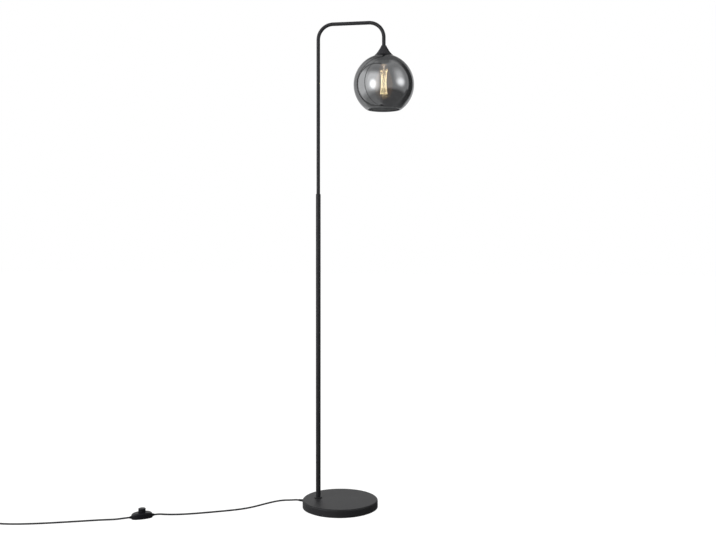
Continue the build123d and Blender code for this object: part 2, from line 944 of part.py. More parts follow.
def switch_screws():
    """Two screws from below that hold the housing together."""
    screws = []
    for place in screw_places():
        head_radius = housing_screw_head - housing_screw_radius / 2 - plain_fit
        head = disc(head_radius, switch_wall / 2, switch_wall)
        shank = disc(housing_screw_radius, switch_wall / 2, housing_screw_length)
        screws.append(place * (head + shank))
    return at_switch(Compound(children=screws))


def switch_sleeves():
    """Tapered sleeve at each end of the switch, held by a flange inside its wall."""
    sleeves = []
    for side in (0, 180):
        start = switch_half_length - sleeve_inside
        wall_inside = switch_half_length - 2 * switch_wall
        root = Rot(0, 90, 0) * disc(sleeve_hole_radius - plain_fit, start, switch_half_length)
        flange = Pos(wall_inside - face_gap, 0, 0) * Box(
            sleeve_flange,
            sleeve_flange_width,
            sleeve_flange_height,
            align=(Align.MAX, Align.CENTER, Align.CENTER),
        )
        outside = Pos(switch_half_length, 0, 0) * tapered_sleeve(sleeve_outside)
        sleeve = root + flange + outside
        sleeves.append(Rot(0, 0, side) * Pos(0, 0, switch_axis_height) * sleeve)
    return at_switch(Compound(children=sleeves))


# ---- cord, coil, tie and plug ------------------------------------------------------------


def sleeve_end(side, beyond):
    """Point on one side of the switch, straight out beyond the end of its sleeve."""
    place = switch_half_length + sleeve_outside + beyond
    turn = math.radians(switch_angle)
    return (
        switch_x + side * place * math.cos(turn),
        switch_y + side * place * math.sin(turn),
        switch_axis_height,
    )


def cord_base_to_switch():
    """Cord from the base's gland to the foot switch."""
    exit_radius = base_radius + gland_collar + gland_sleeve
    start = polar(exit_radius, exit_angle, exit_height)
    lead = polar(exit_radius + cord_lead, exit_angle, exit_height)
    points = [start, lead, *base_to_switch, sleeve_end(1, cord_lead), sleeve_end(1, 0)]
    return laid_cord("cord_base_to_switch", points, cord_diameter)


def cord_switch_to_coil():
    """Cord from the foot switch to the coil."""
    end = (coil_start[0] + cord_diameter, coil_start[1], coil_height)
    near = (coil_start[0] + 5 * cord_diameter, coil_start[1], coil_height)
    points = [sleeve_end(-1, 0), sleeve_end(-1, cord_lead), *switch_to_coil, near, end]
    return laid_cord("cord_switch_to_coil", points, cord_diameter)


def half_turn(point, heading, radius, rise):
    """Half circle to the left of a heading, tilted to climb by a rise."""
    left = Vector(-heading.Y, heading.X, 0)
    across = left * (2 * radius) + Vector(0, 0, rise)
    end = point + across
    middle = point + across / 2 + heading * (across.length / 2)
    return ThreePointArc(point, middle, end), end, heading * -1


def coil_radii():
    """Radius and rise of each half turn: spiral in, climb, spiral out above."""
    step = coil_pitch / 2
    lower = [(coil_outer_radius - step * index, 0) for index in range(coil_lower_turns)]
    climb_radius = coil_outer_radius - step * coil_lower_turns
    upper = [(climb_radius + step * (index + 1), 0) for index in range(coil_upper_turns)]
    return lower + [(climb_radius, coil_pitch)] + upper


def coil_path():
    """Centre line of the coil, and the point and heading where it ends."""
    heading = Vector(-1, 0, 0)
    begin = Vector(coil_start[0] + cord_diameter, coil_start[1], coil_height)
    point = Vector(coil_start[0], coil_start[1], coil_height)
    edges = [Line(begin, point)]
    for radius, rise in coil_radii():
        edge, point, heading = half_turn(point, heading, radius, rise)
        edges.append(edge)
    left = Vector(-heading.Y, heading.X, 0)
    last = coil_radii()[-1][0] + coil_pitch / 2
    centre = point + left * last
    middle = centre + (heading - left) * (last / math.sqrt(2))
    corner = centre + heading * last
    edges.append(ThreePointArc(point, middle, corner))
    end = corner + left * cord_diameter
    edges.append(Line(corner, end))
    return Wire(edges), end, left


def least_gap(path, diameter):
    """Least distance between surfaces of stretches that lie over three diameters apart."""
    count = int(path.length / 2)
    points = [path.position_at(index / count) for index in range(count + 1)]
    apart = int(3 * diameter / 2)
    least = min(
        (points[i] - points[j]).length
        for i in range(len(points))
        for j in range(i + apart, len(points))
    )
    return least - diameter


def cord_coil():
    """Spare cord wound into two layers of loops, as one unbroken tube."""
    path, _, _ = coil_path()
    solid = sweep(round_section(path, cord_radius), path=path)
    share = solid.volume / (math.pi * cord_radius**2 * path.length)
    print(f"cord_coil: length {path.length:.0f}, volume share {share:.4f}")
    print(f"  least gap to itself {least_gap(path, cord_diameter):.2f}")
    return solid


def coil_tie():
    """Strap round all the strands on the coil's near side, with a loose tail."""
    ends = [coil_start[1]]
    side = -1
    for radius, _ in coil_radii():
        ends.append(ends[-1] + side * 2 * radius)
        side = -side
    near = [y for y in ends if y < coil_start[1] - coil_outer_radius]
    room = cord_radius + tie_gap
    low_y, high_y = min(near) - room, max(near) + room
    low_z, high_z = tie_thickness, coil_height + coil_pitch + room
    middle_y, middle_z = (low_y + high_y) / 2, (low_z + high_z) / 2
    plane = Plane(origin=(coil_start[0], middle_y, middle_z), x_dir=(0, 1, 0), z_dir=(1, 0, 0))
    inner = RectangleRounded(high_y - low_y, high_z - low_z, tie_corner - tie_thickness)
    outer = RectangleRounded(
        high_y - low_y + 2 * tie_thickness, high_z - low_z + 2 * tie_thickness, tie_corner
    )
    band = plane * extrude(outer - inner, tie_width / 2, both=True)
    tail = Pos(coil_start[0], low_y + tie_corner, high_z) * Box(
        tie_width, tie_tail + tie_corner, tie_thickness, align=(Align.CENTER, Align.MAX, Align.MIN)
    )
    return band + tail


def plug_start():
    """Point and heading where the plug's sleeve begins."""
    _, end, heading = coil_path()
    run = end + heading * tail_length
    return Vector(run.X, run.Y, plug_height / 2), heading


def cord_tail():
    """Short cord from the coil down to the plug's sleeve."""
    _, end, heading = coil_path()
    begin, _ = plug_start()
    left = Vector(-heading.Y, heading.X, 0)
    bow = left * (cord_diameter / 5)
    first = end + heading * (tail_length / 4)
    middle = end + heading * (tail_length / 2) + bow
    middle = Vector(middle.X, middle.Y, (begin.Z + end.Z) / 2)
    last = begin - heading * (tail_length / 4)
    points = [tuple(end), tuple(first), tuple(middle), tuple(last), tuple(begin)]
    return laid_cord("cord_tail", points, cord_diameter)


def at_plug(solid):
    """Move a piece built along +X from the sleeve's root to where the plug lies."""
    begin, heading = plug_start()
    place = Plane(origin=begin, x_dir=heading, z_dir=(0, 0, 1))
    return place * Pos(plug_sleeve, 0, 0) * solid


def plug_form():
    """Flat moulded plug along +X: a waisted grip that widens to an eight-sided nose."""
    half = plug_width / 2
    rear = plug_rear_width / 2
    side = [
        Line((0, -rear), (0, rear)),
        ThreePointArc(
            (0, rear), (plug_shoulder / 2, (rear + half) / 2 - 1.5), (plug_shoulder, half)
        ),
        Line((plug_shoulder, half), (plug_length, half)),
        Line((plug_length, half), (plug_length, -half)),
        Line((plug_length, -half), (plug_shoulder, -half)),
        ThreePointArc(
            (plug_shoulder, -half), (plug_shoulder / 2, 1.5 - (rear + half) / 2), (0, -rear)
        ),
    ]
    plan = extrude(make_face(Wire(side)), plug_height / 2, both=True)
    nose = Rectangle(plug_width, plug_height)
    nose = Plane.YZ * chamfer(nose.vertices(), plug_nose_chamfer)
    return plan & extrude(nose, plug_length)


def plug_sleeve_piece():
    """Tapered sleeve between the cord and the plug."""
    return at_plug(Rot(0, 0, 180) * tapered_sleeve(plug_sleeve))


def plug_pins():
    """Two round pins with ball ends, held in the plug's nose."""
    pins = []
    for side in (-1, 1):
        pin = disc(pin_radius, plug_length, plug_length + pin_length)
        pin = fillet(pin.edges().group_by(Axis.Z)[-1], pin_radius * 0.8)
        pin += disc(pin_anchor_radius, plug_length - pin_anchor, plug_length)
        pins.append(Pos(0, side * pin_spacing / 2, 0) * Rot(0, 90, 0) * pin)
    return at_plug(Compound(children=pins))


def plug_body():
    """Plug moulded round the anchors of its pins."""
    body = plug_form()
    for side in (-1, 1):
        hole = disc(pin_anchor_radius, plug_length - pin_anchor, plug_length + 1)
        body -= Pos(0, side * pin_spacing / 2, 0) * Rot(0, 90, 0) * hole
    return at_plug(body)


# ---- build -------------------------------------------------------------------------------

pieces = {
    "base_cover": base_cover,
    "base_weight": base_weight,
    "base_pad": base_pad,
    "base_rod": base_rod,
    "base_washer": base_washer,
    "base_nut": base_nut,
    "foot_ring": foot_ring,
    "cord_gland": cord_gland,
    "pole_plug": pole_plug,
    "lower_pole": lower_pole,
    "pole_collar": pole_collar,
    "swan_neck": swan_neck,
    "lamp_cable": lamp_cable,
    "shade_cap": shade_cap,
    "cap_nipple": cap_nipple,
    "cap_spacer": cap_spacer,
    "globe_shade": globe_shade,
    "holder_dome": holder_dome,
    "holder_body": holder_body,
    "holder_block": holder_block,
    "holder_shell": holder_shell,
    "holder_contact": holder_contact,
    "shade_ring": shade_ring,
    "bulb_glass": bulb_glass,
    "bulb_cap": bulb_cap,
    "bulb_insulator": bulb_insulator,
    "bulb_tip": bulb_tip,
    "bulb_stem": bulb_stem,
    "bulb_filament": bulb_filament,
    "bulb_supports": bulb_supports,
    "switch_base": switch_base,
    "switch_cover": switch_cover,
    "switch_button": switch_button,
    "switch_carrier": switch_carrier,
    "switch_spring": switch_spring,
    "switch_clamps": switch_clamps,
    "switch_screws": switch_screws,
    "switch_sleeves": switch_sleeves,
    "cord_base_to_switch": cord_base_to_switch,
    "cord_switch_to_coil": cord_switch_to_coil,
    "cord_coil": cord_coil,
    "coil_tie": coil_tie,
    "cord_tail": cord_tail,
    "plug_sleeve": plug_sleeve_piece,
    "plug_body": plug_body,
    "plug_pins": plug_pins,
}

os.makedirs("parts", exist_ok=True)
for name, build in pieces.items():
    solid = build()
    print(name, len(solid.solids()), round(solid.volume))
    export_step(solid, f"parts/{name}.step")
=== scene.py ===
"""Dresses the globe floor lamp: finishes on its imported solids, and finer pieces where they show."""

import logging
import math
from dataclasses import dataclass, field
from enum import Enum
from functools import cache
from typing import Callable, Iterable, Mapping, Sequence

import bpy
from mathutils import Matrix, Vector


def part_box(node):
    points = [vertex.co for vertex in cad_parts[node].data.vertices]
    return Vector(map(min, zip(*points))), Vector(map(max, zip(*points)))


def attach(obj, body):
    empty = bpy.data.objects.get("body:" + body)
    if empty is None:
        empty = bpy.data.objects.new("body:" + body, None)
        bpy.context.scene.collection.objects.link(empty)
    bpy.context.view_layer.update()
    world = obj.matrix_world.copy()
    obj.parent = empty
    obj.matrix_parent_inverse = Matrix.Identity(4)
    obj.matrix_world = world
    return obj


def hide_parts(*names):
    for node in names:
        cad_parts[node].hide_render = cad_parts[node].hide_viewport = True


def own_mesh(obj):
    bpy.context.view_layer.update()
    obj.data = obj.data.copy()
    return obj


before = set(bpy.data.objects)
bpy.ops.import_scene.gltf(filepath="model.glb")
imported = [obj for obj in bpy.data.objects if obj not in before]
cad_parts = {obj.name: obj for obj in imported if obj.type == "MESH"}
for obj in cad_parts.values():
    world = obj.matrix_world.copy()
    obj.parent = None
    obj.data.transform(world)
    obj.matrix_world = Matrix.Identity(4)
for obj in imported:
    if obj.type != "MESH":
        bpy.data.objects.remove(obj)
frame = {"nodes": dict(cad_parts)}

LOG = logging.getLogger("globe_lamp")
MM = 0.001
WELD = 1e-6
WHITE = (1.0, 1.0, 1.0, 1.0)

Colour = tuple[float, float, float]
Point = tuple[float, float, float]
Outline = Sequence[tuple[float, float]]
Inputs = Mapping[str | int, object]
Piece = bpy.types.Object
Socket = bpy.types.NodeSocket
Tree = bpy.types.NodeTree


class Body(Enum):
    """Rigid bodies that pieces ride on."""

    STAND = "stand"
    BUTTON = "foot_button"
    BULB = "bulb"


class Slot(Enum):
    """Material slots of the record."""

    COAT = "black_coat"
    CASTING = "cast_weight"
    FOAM = "foam_pad"
    ZINC = "zinc_steel"
    BRASS = "brass"
    PLASTIC = "black_plastic"
    CORD = "black_cord"
    CERAMIC = "white_ceramic"
    SMOKED = "smoked_glass"
    CLEAR = "clear_glass"
    FILAMENT = "filament"
    VITRITE = "black_glass"
    STRIP = "spring_steel"


def metres(*values: float) -> Vector:
    """Vector in metres from millimetres."""
    return Vector(values) * MM


# ---- node groups and finishes --------------------------------------------------------------


class Nodes:
    """Nodes of one material, world or group, as they are added and linked."""

    def __init__(self, tree: Tree) -> None:
        """Take up a tree."""
        self.tree = tree

    @classmethod
    def of_group(cls, name: str, inputs: Mapping[str, float], *outputs: str) -> "Nodes":
        """Start a group that has a Vector input.

        Args:
            name: Name of the group.
            inputs: Float inputs and their defaults.
            *outputs: Names of outputs. Normal is a vector and the others are floats.

        Returns:
            The group's nodes, with its input and output nodes added.
        """
        tree = bpy.data.node_groups.new(name, "ShaderNodeTree")
        tree.interface.new_socket("Vector", in_out="INPUT", socket_type="NodeSocketVector")
        for label, value in inputs.items():
            socket = tree.interface.new_socket(label, in_out="INPUT", socket_type="NodeSocketFloat")
            socket.default_value = value
        for label in outputs:
            kind = "NodeSocketVector" if label == "Normal" else "NodeSocketFloat"
            tree.interface.new_socket(label, in_out="OUTPUT", socket_type=kind)
        tree.nodes.new("NodeGroupInput")
        tree.nodes.new("NodeGroupOutput")
        return cls(tree)

    @property
    def given(self) -> Mapping[str, Socket]:
        """A group's inputs, by name."""
        return self.tree.nodes["Group Input"].outputs

    def fill(self, node: bpy.types.Node, inputs: Inputs) -> None:
        """Link a socket, or set a plain value, into each of a node's inputs."""
        for place, value in inputs.items():
            if isinstance(value, Socket):
                self.tree.links.new(value, node.inputs[place])
            else:
                node.inputs[place].default_value = value

    def add(self, kind: str, inputs: Inputs = {}, **settings: object) -> bpy.types.Node:
        """Add a node.

        Args:
            kind: Type of node, without the words it starts with.
            inputs: A socket or a plain value for each input, by its name or place.
            **settings: The node's own settings, which are set first.

        Returns:
            The node.
        """
        node = self.tree.nodes.new("ShaderNode" + kind)
        for name, value in settings.items():
            setattr(node, name, value)
        self.fill(node, inputs)
        return node

    def calc(self, operation: str, *values: object) -> Socket:
        """Work on numbers or sockets, and return the output."""
        return self.add("Math", dict(enumerate(values)), operation=operation).outputs[0]

    def vector(self, operation: str, *values: object) -> Socket:
        """Work on vectors, and return the output, a number for a length or a dot product."""
        node = self.add("VectorMath", dict(enumerate(values)), operation=operation)
        return node.outputs["Value" if operation in ("LENGTH", "DOT_PRODUCT") else "Vector"]

    def combine(self, x: object, y: object, z: object) -> Socket:
        """Join three numbers or sockets into a vector."""
        return self.add("CombineXYZ", {"X": x, "Y": y, "Z": z}).outputs["Vector"]

    def eased(self, share: Socket) -> Socket:
        """Ease a share between 0 and 1."""
        fade = self.add("MapRange", {"Value": share}, interpolation_type="SMOOTHERSTEP")
        return fade.outputs["Result"]

    def plain_rays(self) -> Socket:
        """Share of rays that see the plain background."""
        path = self.add("LightPath").outputs
        first = self.calc("MAXIMUM", path["Is Camera Ray"], path["Is Glossy Ray"])
        return self.calc("MAXIMUM", first, path["Is Transmission Ray"])

    def put_out(self, **results: Socket) -> Tree:
        """Link the group's outputs, and return the group."""
        self.fill(self.tree.nodes["Group Output"], results)
        return self.tree

    def surface(self, share: Socket, first: bpy.types.Node, second: bpy.types.Node) -> None:
        """Mix two shaders by a share of the second into the material's surface."""
        mix = self.add("MixShader", {"Fac": share, 1: first.outputs[0], 2: second.outputs[0]})
        self.fill(self.tree.nodes["Material Output"], {"Surface": mix.outputs[0]})


class Effects:
    """Node groups that several finishes share. They put out masks and normals only."""

    @staticmethod
    @cache
    def fine_grain() -> Tree:
        """Group for the fine texture of powder coat and moulded plastic.

        Returns:
            A group with Mask, from 0 to 1, and Normal.
        """
        group = Nodes.of_group(
            "Fine grain", {"Scale": 900.0, "Bump": 0.15, "Depth": 0.00006}, "Mask", "Normal"
        )
        given = group.given
        place = given["Vector"]
        fine = group.add(
            "TexNoise", {"Vector": place, "Scale": given["Scale"], "Detail": 3.0, "Roughness": 0.6}
        ).outputs["Fac"]
        broad = group.add("TexNoise", {"Vector": place, "Scale": 14.0, "Detail": 2.0})
        blend = group.add("Mix", {"Factor": 0.35, "A": fine, "B": broad.outputs["Fac"]})
        bump = group.add(
            "Bump", {"Strength": given["Bump"], "Distance": given["Depth"], "Height": fine}
        )
        return group.put_out(Mask=blend.outputs["Result"], Normal=bump.outputs["Normal"])

    @staticmethod
    @cache
    def soft_streaks() -> Tree:
        """Group for drawn or turned metal.

        Returns:
            A group with Mask, from 0 to 1, and Normal.
        """
        group = Nodes.of_group(
            "Soft streaks", {"Along": 60.0, "Across": 2600.0, "Bump": 0.2}, "Mask", "Normal"
        )
        given = group.given
        scale = group.combine(given["Along"], given["Along"], given["Across"])
        stretch = group.vector("MULTIPLY", given["Vector"], scale)
        streaks = group.add("TexNoise", {"Vector": stretch, "Scale": 1.0, "Detail": 4.0})
        noise = streaks.outputs["Fac"]
        bump = group.add("Bump", {"Strength": given["Bump"], "Distance": 0.00004, "Height": noise})
        return group.put_out(Mask=noise, Normal=bump.outputs["Normal"])

    @staticmethod
    @cache
    def glow_about() -> Tree:
        """Group for a soft spot of light about a point.

        Returns:
            A group with Mask, 1 at the point and 0 outside the reach.
        """
        group = Nodes.of_group(
            "Glow about",
            {"X": 0.0, "Y": 0.0, "Z": 0.0, "Reach": 0.04, "Flatten": 1.0, "Power": 2.0}, "Mask",
        )
        given, calc = group.given, group.calc
        centre = group.combine(*(given[axis] for axis in "XYZ"))
        offset = group.vector("SUBTRACT", given["Vector"], centre)
        shaped = group.vector("MULTIPLY", offset, group.combine(1.0, 1.0, given["Flatten"]))
        share = calc("DIVIDE", group.vector("LENGTH", shaped), given["Reach"])
        inside = calc("MAXIMUM", calc("SUBTRACT", 1.0, share), 0.0)
        return group.put_out(Mask=calc("POWER", inside, given["Power"]))

    @staticmethod
    @cache
    def soft_patch() -> Tree:
        """Group for a soft-edged patch of a dome, placed by angles in degrees.

        Returns:
            A group with Mask, 1 inside the patch and 0 outside it.
        """
        group = Nodes.of_group(
            "Soft patch",
            {"Azimuth": 0.0, "Elevation": 0.0, "Half width": 20.0, "Half height": 20.0,
             "Soft": 0.5, "Shape": 4.0},
            "Mask",
        )
        given, calc = group.given, group.calc
        angle = calc("MULTIPLY", given["Azimuth"], -math.pi / 180)
        turned = group.add(
            "VectorRotate", {"Vector": given["Vector"], "Angle": angle}, rotation_type="Z_AXIS"
        )
        apart = group.add("SeparateXYZ", {0: turned.outputs[0]}).outputs
        across = calc("ARCTAN2", apart["X"], calc("MULTIPLY", apart["Y"], -1.0))
        rise = calc("DIVIDE", apart["Z"], group.vector("LENGTH", given["Vector"]))
        height = calc("DEGREES", calc("ARCSINE", rise))
        offsets = (
            (calc("DEGREES", across), given["Half width"]),
            (calc("SUBTRACT", height, given["Elevation"]), given["Half height"]),
        )
        shares = [
            calc("POWER", calc("DIVIDE", calc("ABSOLUTE", offset), half), given["Shape"])
            for offset, half in offsets
        ]
        reach = calc("POWER", calc("ADD", *shares), calc("DIVIDE", 1.0, given["Shape"]))
        inside = calc("DIVIDE", calc("SUBTRACT", 1.0, reach), given["Soft"])
        return group.put_out(Mask=group.eased(inside))

    @staticmethod
    @cache
    def soft_arc() -> Tree:
        """Group for a thin ring on a dome's left half, about a direction, with angles in degrees.

        Returns:
            A group with Mask, 1 along the ring and 0 beside it.
        """
        group = Nodes.of_group(
            "Soft arc", {"X": 0.0, "Y": 0.0, "Z": 1.0, "Radius": 60.0, "Half width": 2.0}, "Mask"
        )
        given, calc = group.given, group.calc
        centre = group.combine(*(given[axis] for axis in "XYZ"))
        unit = group.vector("NORMALIZE", given["Vector"])
        turn = calc("DEGREES", calc("ARCCOSINE", group.vector("DOT_PRODUCT", unit, centre)))
        beside = calc("ABSOLUTE", calc("SUBTRACT", turn, given["Radius"]))
        inside = calc("SUBTRACT", 1.0, calc("DIVIDE", beside, given["Half width"]))
        left = calc("MULTIPLY", group.add("SeparateXYZ", {0: unit}).outputs["X"], -4.0)
        return group.put_out(Mask=group.eased(calc("MINIMUM", inside, left)))


def new_material(name: str) -> tuple[bpy.types.Material, Nodes]:
    """Start a material, and return it with its nodes."""
    made = bpy.data.materials.new(name)
    made.use_nodes = True
    return made, Nodes(made.node_tree)


def wear(piece: Piece, made: bpy.types.Material, slot: Slot) -> None:
    """Give a piece one material."""
    piece.data.materials.clear()
    piece.data.materials.append(made)


@dataclass(frozen=True)
class Finish:
    """A surface of one plain kind, with grain or streaks laid over it."""

    name: str
    slot: Slot
    colour: Colour
    roughness: float = 0.5
    metallic: float = 0.0
    variation: float = 0.12
    rough_variation: float = 0.08
    least_roughness: float = 0.01
    grain_scale: float = 900.0
    grain_bump: float = 0.15
    streaks: bool = False
    coat: float = 0.0
    coat_roughness: float = 0.2
    specular: float = 0.5
    transmission: float = 0.0
    ior: float = 1.5
    specular_tint: Colour = (1.0, 1.0, 1.0)

    def material(self) -> bpy.types.Material:
        """Material of this finish, built once.

        Returns:
            The material.
        """
        existing = bpy.data.materials.get(self.name)
        if existing is not None:
            return existing
        made, nodes = new_material(self.name)
        nodes.fill(nodes.tree.nodes["Principled BSDF"], {
            "Metallic": self.metallic,
            "Coat Weight": self.coat,
            "Coat Roughness": self.coat_roughness,
            "Specular IOR Level": self.specular,
            "Specular Tint": (*self.specular_tint, 1.0),
            "Transmission Weight": self.transmission,
            "IOR": self.ior,
        })
        self._texture(nodes)
        return made

    def _texture(self, nodes: Nodes) -> None:
        """Lay the grain or streaks into colour, roughness and normal."""
        place = nodes.add("TexCoord").outputs["Object"]
        values = {"Vector": place, "Bump": self.grain_bump}
        if not self.streaks:
            values["Scale"] = self.grain_scale
        group = Effects.soft_streaks() if self.streaks else Effects.fine_grain()
        effect = nodes.add("Group", values, node_tree=group).outputs
        low = [channel * (1 - self.variation) for channel in self.colour]
        high = [min(channel * (1 + self.variation), 1.0) for channel in self.colour]
        shade = nodes.add(
            "Mix", {"Factor": effect["Mask"], "A": (*low, 1.0), "B": (*high, 1.0)},
            data_type="RGBA",
        )
        rough = nodes.add("MapRange", {
            "Value": effect["Mask"],
            "To Min": max(self.roughness - self.rough_variation, self.least_roughness),
            "To Max": min(self.roughness + self.rough_variation, 1.0),
        })
        shader = nodes.tree.nodes["Principled BSDF"]
        nodes.fill(
            shader, {"Base Color": shade.outputs["Result"], "Roughness": rough.outputs["Result"]}
        )
        if self.grain_bump > 0:
            nodes.fill(shader, {"Normal": effect["Normal"]})

    def dress(self, *pieces: Piece) -> None:
        """Give this finish to pieces."""
        for piece in pieces:
            wear(piece, self.material(), self.slot)


POWDER_COAT = Finish(
    "Satin black powder coat", Slot.COAT, (0.0095, 0.0095, 0.0105), roughness=0.5,
    variation=0.16, rough_variation=0.06, grain_scale=1500.0, grain_bump=0.2, specular=0.22,
)
BLACK_MOULDING = Finish(
    "Satin black moulding", Slot.PLASTIC, (0.004, 0.004, 0.0055), roughness=0.4,
    variation=0.2, grain_scale=2200.0, grain_bump=0.15, specular=0.16,
)
HOLDER_MOULDING = Finish(
    "Heat-proof black moulding", Slot.PLASTIC, (0.022, 0.021, 0.021), roughness=0.35,
    variation=0.15, grain_scale=1600.0, grain_bump=0.12,
)
CORD_SHEATH = Finish(
    "Smooth black sheath", Slot.CORD, (0.011, 0.011, 0.012), roughness=0.42,
    variation=0.15, grain_scale=1200.0, grain_bump=0.12, specular=0.3,
)
CASTING = Finish(
    "Grey iron casting", Slot.CASTING, (0.1, 0.1, 0.103), roughness=0.75, metallic=0.6,
    variation=0.35, rough_variation=0.12, grain_scale=420.0, grain_bump=0.6,
)
FOAM = Finish(
    "Matt foam rubber", Slot.FOAM, (0.025, 0.025, 0.025), roughness=0.9,
    variation=0.3, grain_scale=1800.0, grain_bump=0.7,
)
ZINC = Finish(
    "Zinc plated steel", Slot.ZINC, (0.6, 0.61, 0.63), roughness=0.3, metallic=1.0,
    variation=0.08, grain_bump=0.15, streaks=True,
)
BRIGHT_STRIP = Finish(
    "Bright spring steel", Slot.STRIP, (0.62, 0.62, 0.63), roughness=0.25, metallic=1.0,
    variation=0.06, grain_bump=0.1, streaks=True,
)
CAP_BRASS = Finish(
    "Bright brass", Slot.BRASS, (0.78, 0.58, 0.3), roughness=0.26, metallic=1.0,
    variation=0.1, grain_bump=0.1, streaks=True,
)
CERAMIC = Finish(
    "White steatite", Slot.CERAMIC, (0.82, 0.8, 0.75), roughness=0.6,
    variation=0.05, grain_scale=700.0, grain_bump=0.2,
)
VITRITE = Finish(
    "Black vitrified insulator", Slot.VITRITE, (0.012, 0.01, 0.014), roughness=0.15,
    variation=0.3, grain_scale=500.0, grain_bump=0.1, coat=0.5,
)
SMOKED_MIRROR = Finish(
    "Smoked mirror glass", Slot.SMOKED, (0.33, 0.335, 0.34), roughness=0.02, metallic=0.62,
    transmission=1.0, ior=1.5, specular_tint=(0.55, 0.55, 0.56),
    variation=0.06, rough_variation=0.008, grain_scale=45.0, grain_bump=0.0,
)

@dataclass(frozen=True)
class LitPiece:
    """A piece of the lit bulb, with a soft spot of emitted light about a point: the filament's own
    glow, or a painted glow on glass that stands for the filament's light.
    """

    centre: Vector
    name: str = "Lit glass"
    slot: Slot = Slot.CLEAR
    colour: Colour = (1.0, 1.0, 1.0)
    roughness: float = 0.04
    transmission: float = 1.0
    ior: float = 1.5
    inner: Colour = (1.0, 1.0, 1.0)
    outer: Colour = (0.0, 0.0, 0.0)
    strength: float = 1.0
    reach: float = 0.04
    flatten: float = 1.0
    power: float = 1.6

    def dress(self, piece: Piece) -> None:
        """Give a piece the surface, whose glow runs from the inner colour to the outer one."""
        made, nodes = new_material(self.name)
        spot = nodes.add("Group", {
            "Vector": nodes.add("TexCoord").outputs["Object"],
            **dict(zip("XYZ", self.centre)),
            "Reach": self.reach,
            "Flatten": self.flatten,
            "Power": self.power,
        }, node_tree=Effects.glow_about())
        tint = nodes.add("Mix", {
            "Factor": spot.outputs["Mask"], "A": (*self.outer, 1.0), "B": (*self.inner, 1.0),
        }, data_type="RGBA")
        nodes.fill(nodes.tree.nodes["Principled BSDF"], {
            "Base Color": (*self.colour, 1.0),
            "Roughness": self.roughness,
            "Transmission Weight": self.transmission,
            "IOR": self.ior,
            "Emission Color": tint.outputs["Result"],
            "Emission Strength": self.strength,
        })
        wear(piece, made, self.slot)


@dataclass(frozen=True)
class PaintedGlowStem(LitPiece):
    """Pressed glass stem with a painted glow near the neck, standing for the filament's light on it.
    """

    name: str = "Stem glass with painted glow"
    colour: Colour = (0.97, 0.93, 0.86)
    inner: Colour = (1.0, 0.9, 0.8)
    strength: float = 5.0
    reach: float = 0.016


@dataclass(frozen=True)
class LitFilament(LitPiece):
    """Glowing filament, hottest a little below the middle of its strands."""

    name: str = "Lit filament"
    slot: Slot = Slot.FILAMENT
    colour: Colour = (1.0, 0.88, 0.6)
    roughness: float = 0.6
    transmission: float = 0.0
    inner: Colour = (1.0, 0.88, 0.6)
    outer: Colour = (0.25, 0.14, 0.05)
    strength: float = 300.0
    reach: float = 0.06
    power: float = 0.7


@dataclass(frozen=True)
class PaintedGlowBulbGlass(LitPiece):
    """Bulb glass with a faint amber tint and a painted amber glow round the filament, standing for
    the filament's light in the glass.
    """

    name: str = "Bulb glass with painted amber glow"
    colour: Colour = (0.99, 0.95, 0.87)
    roughness: float = 0.03
    ior: float = 1.45
    inner: Colour = (1.0, 0.58, 0.22)
    strength: float = 1.25
    reach: float = 0.042
    flatten: float = 0.5


# ---- bench tools ---------------------------------------------------------------------------


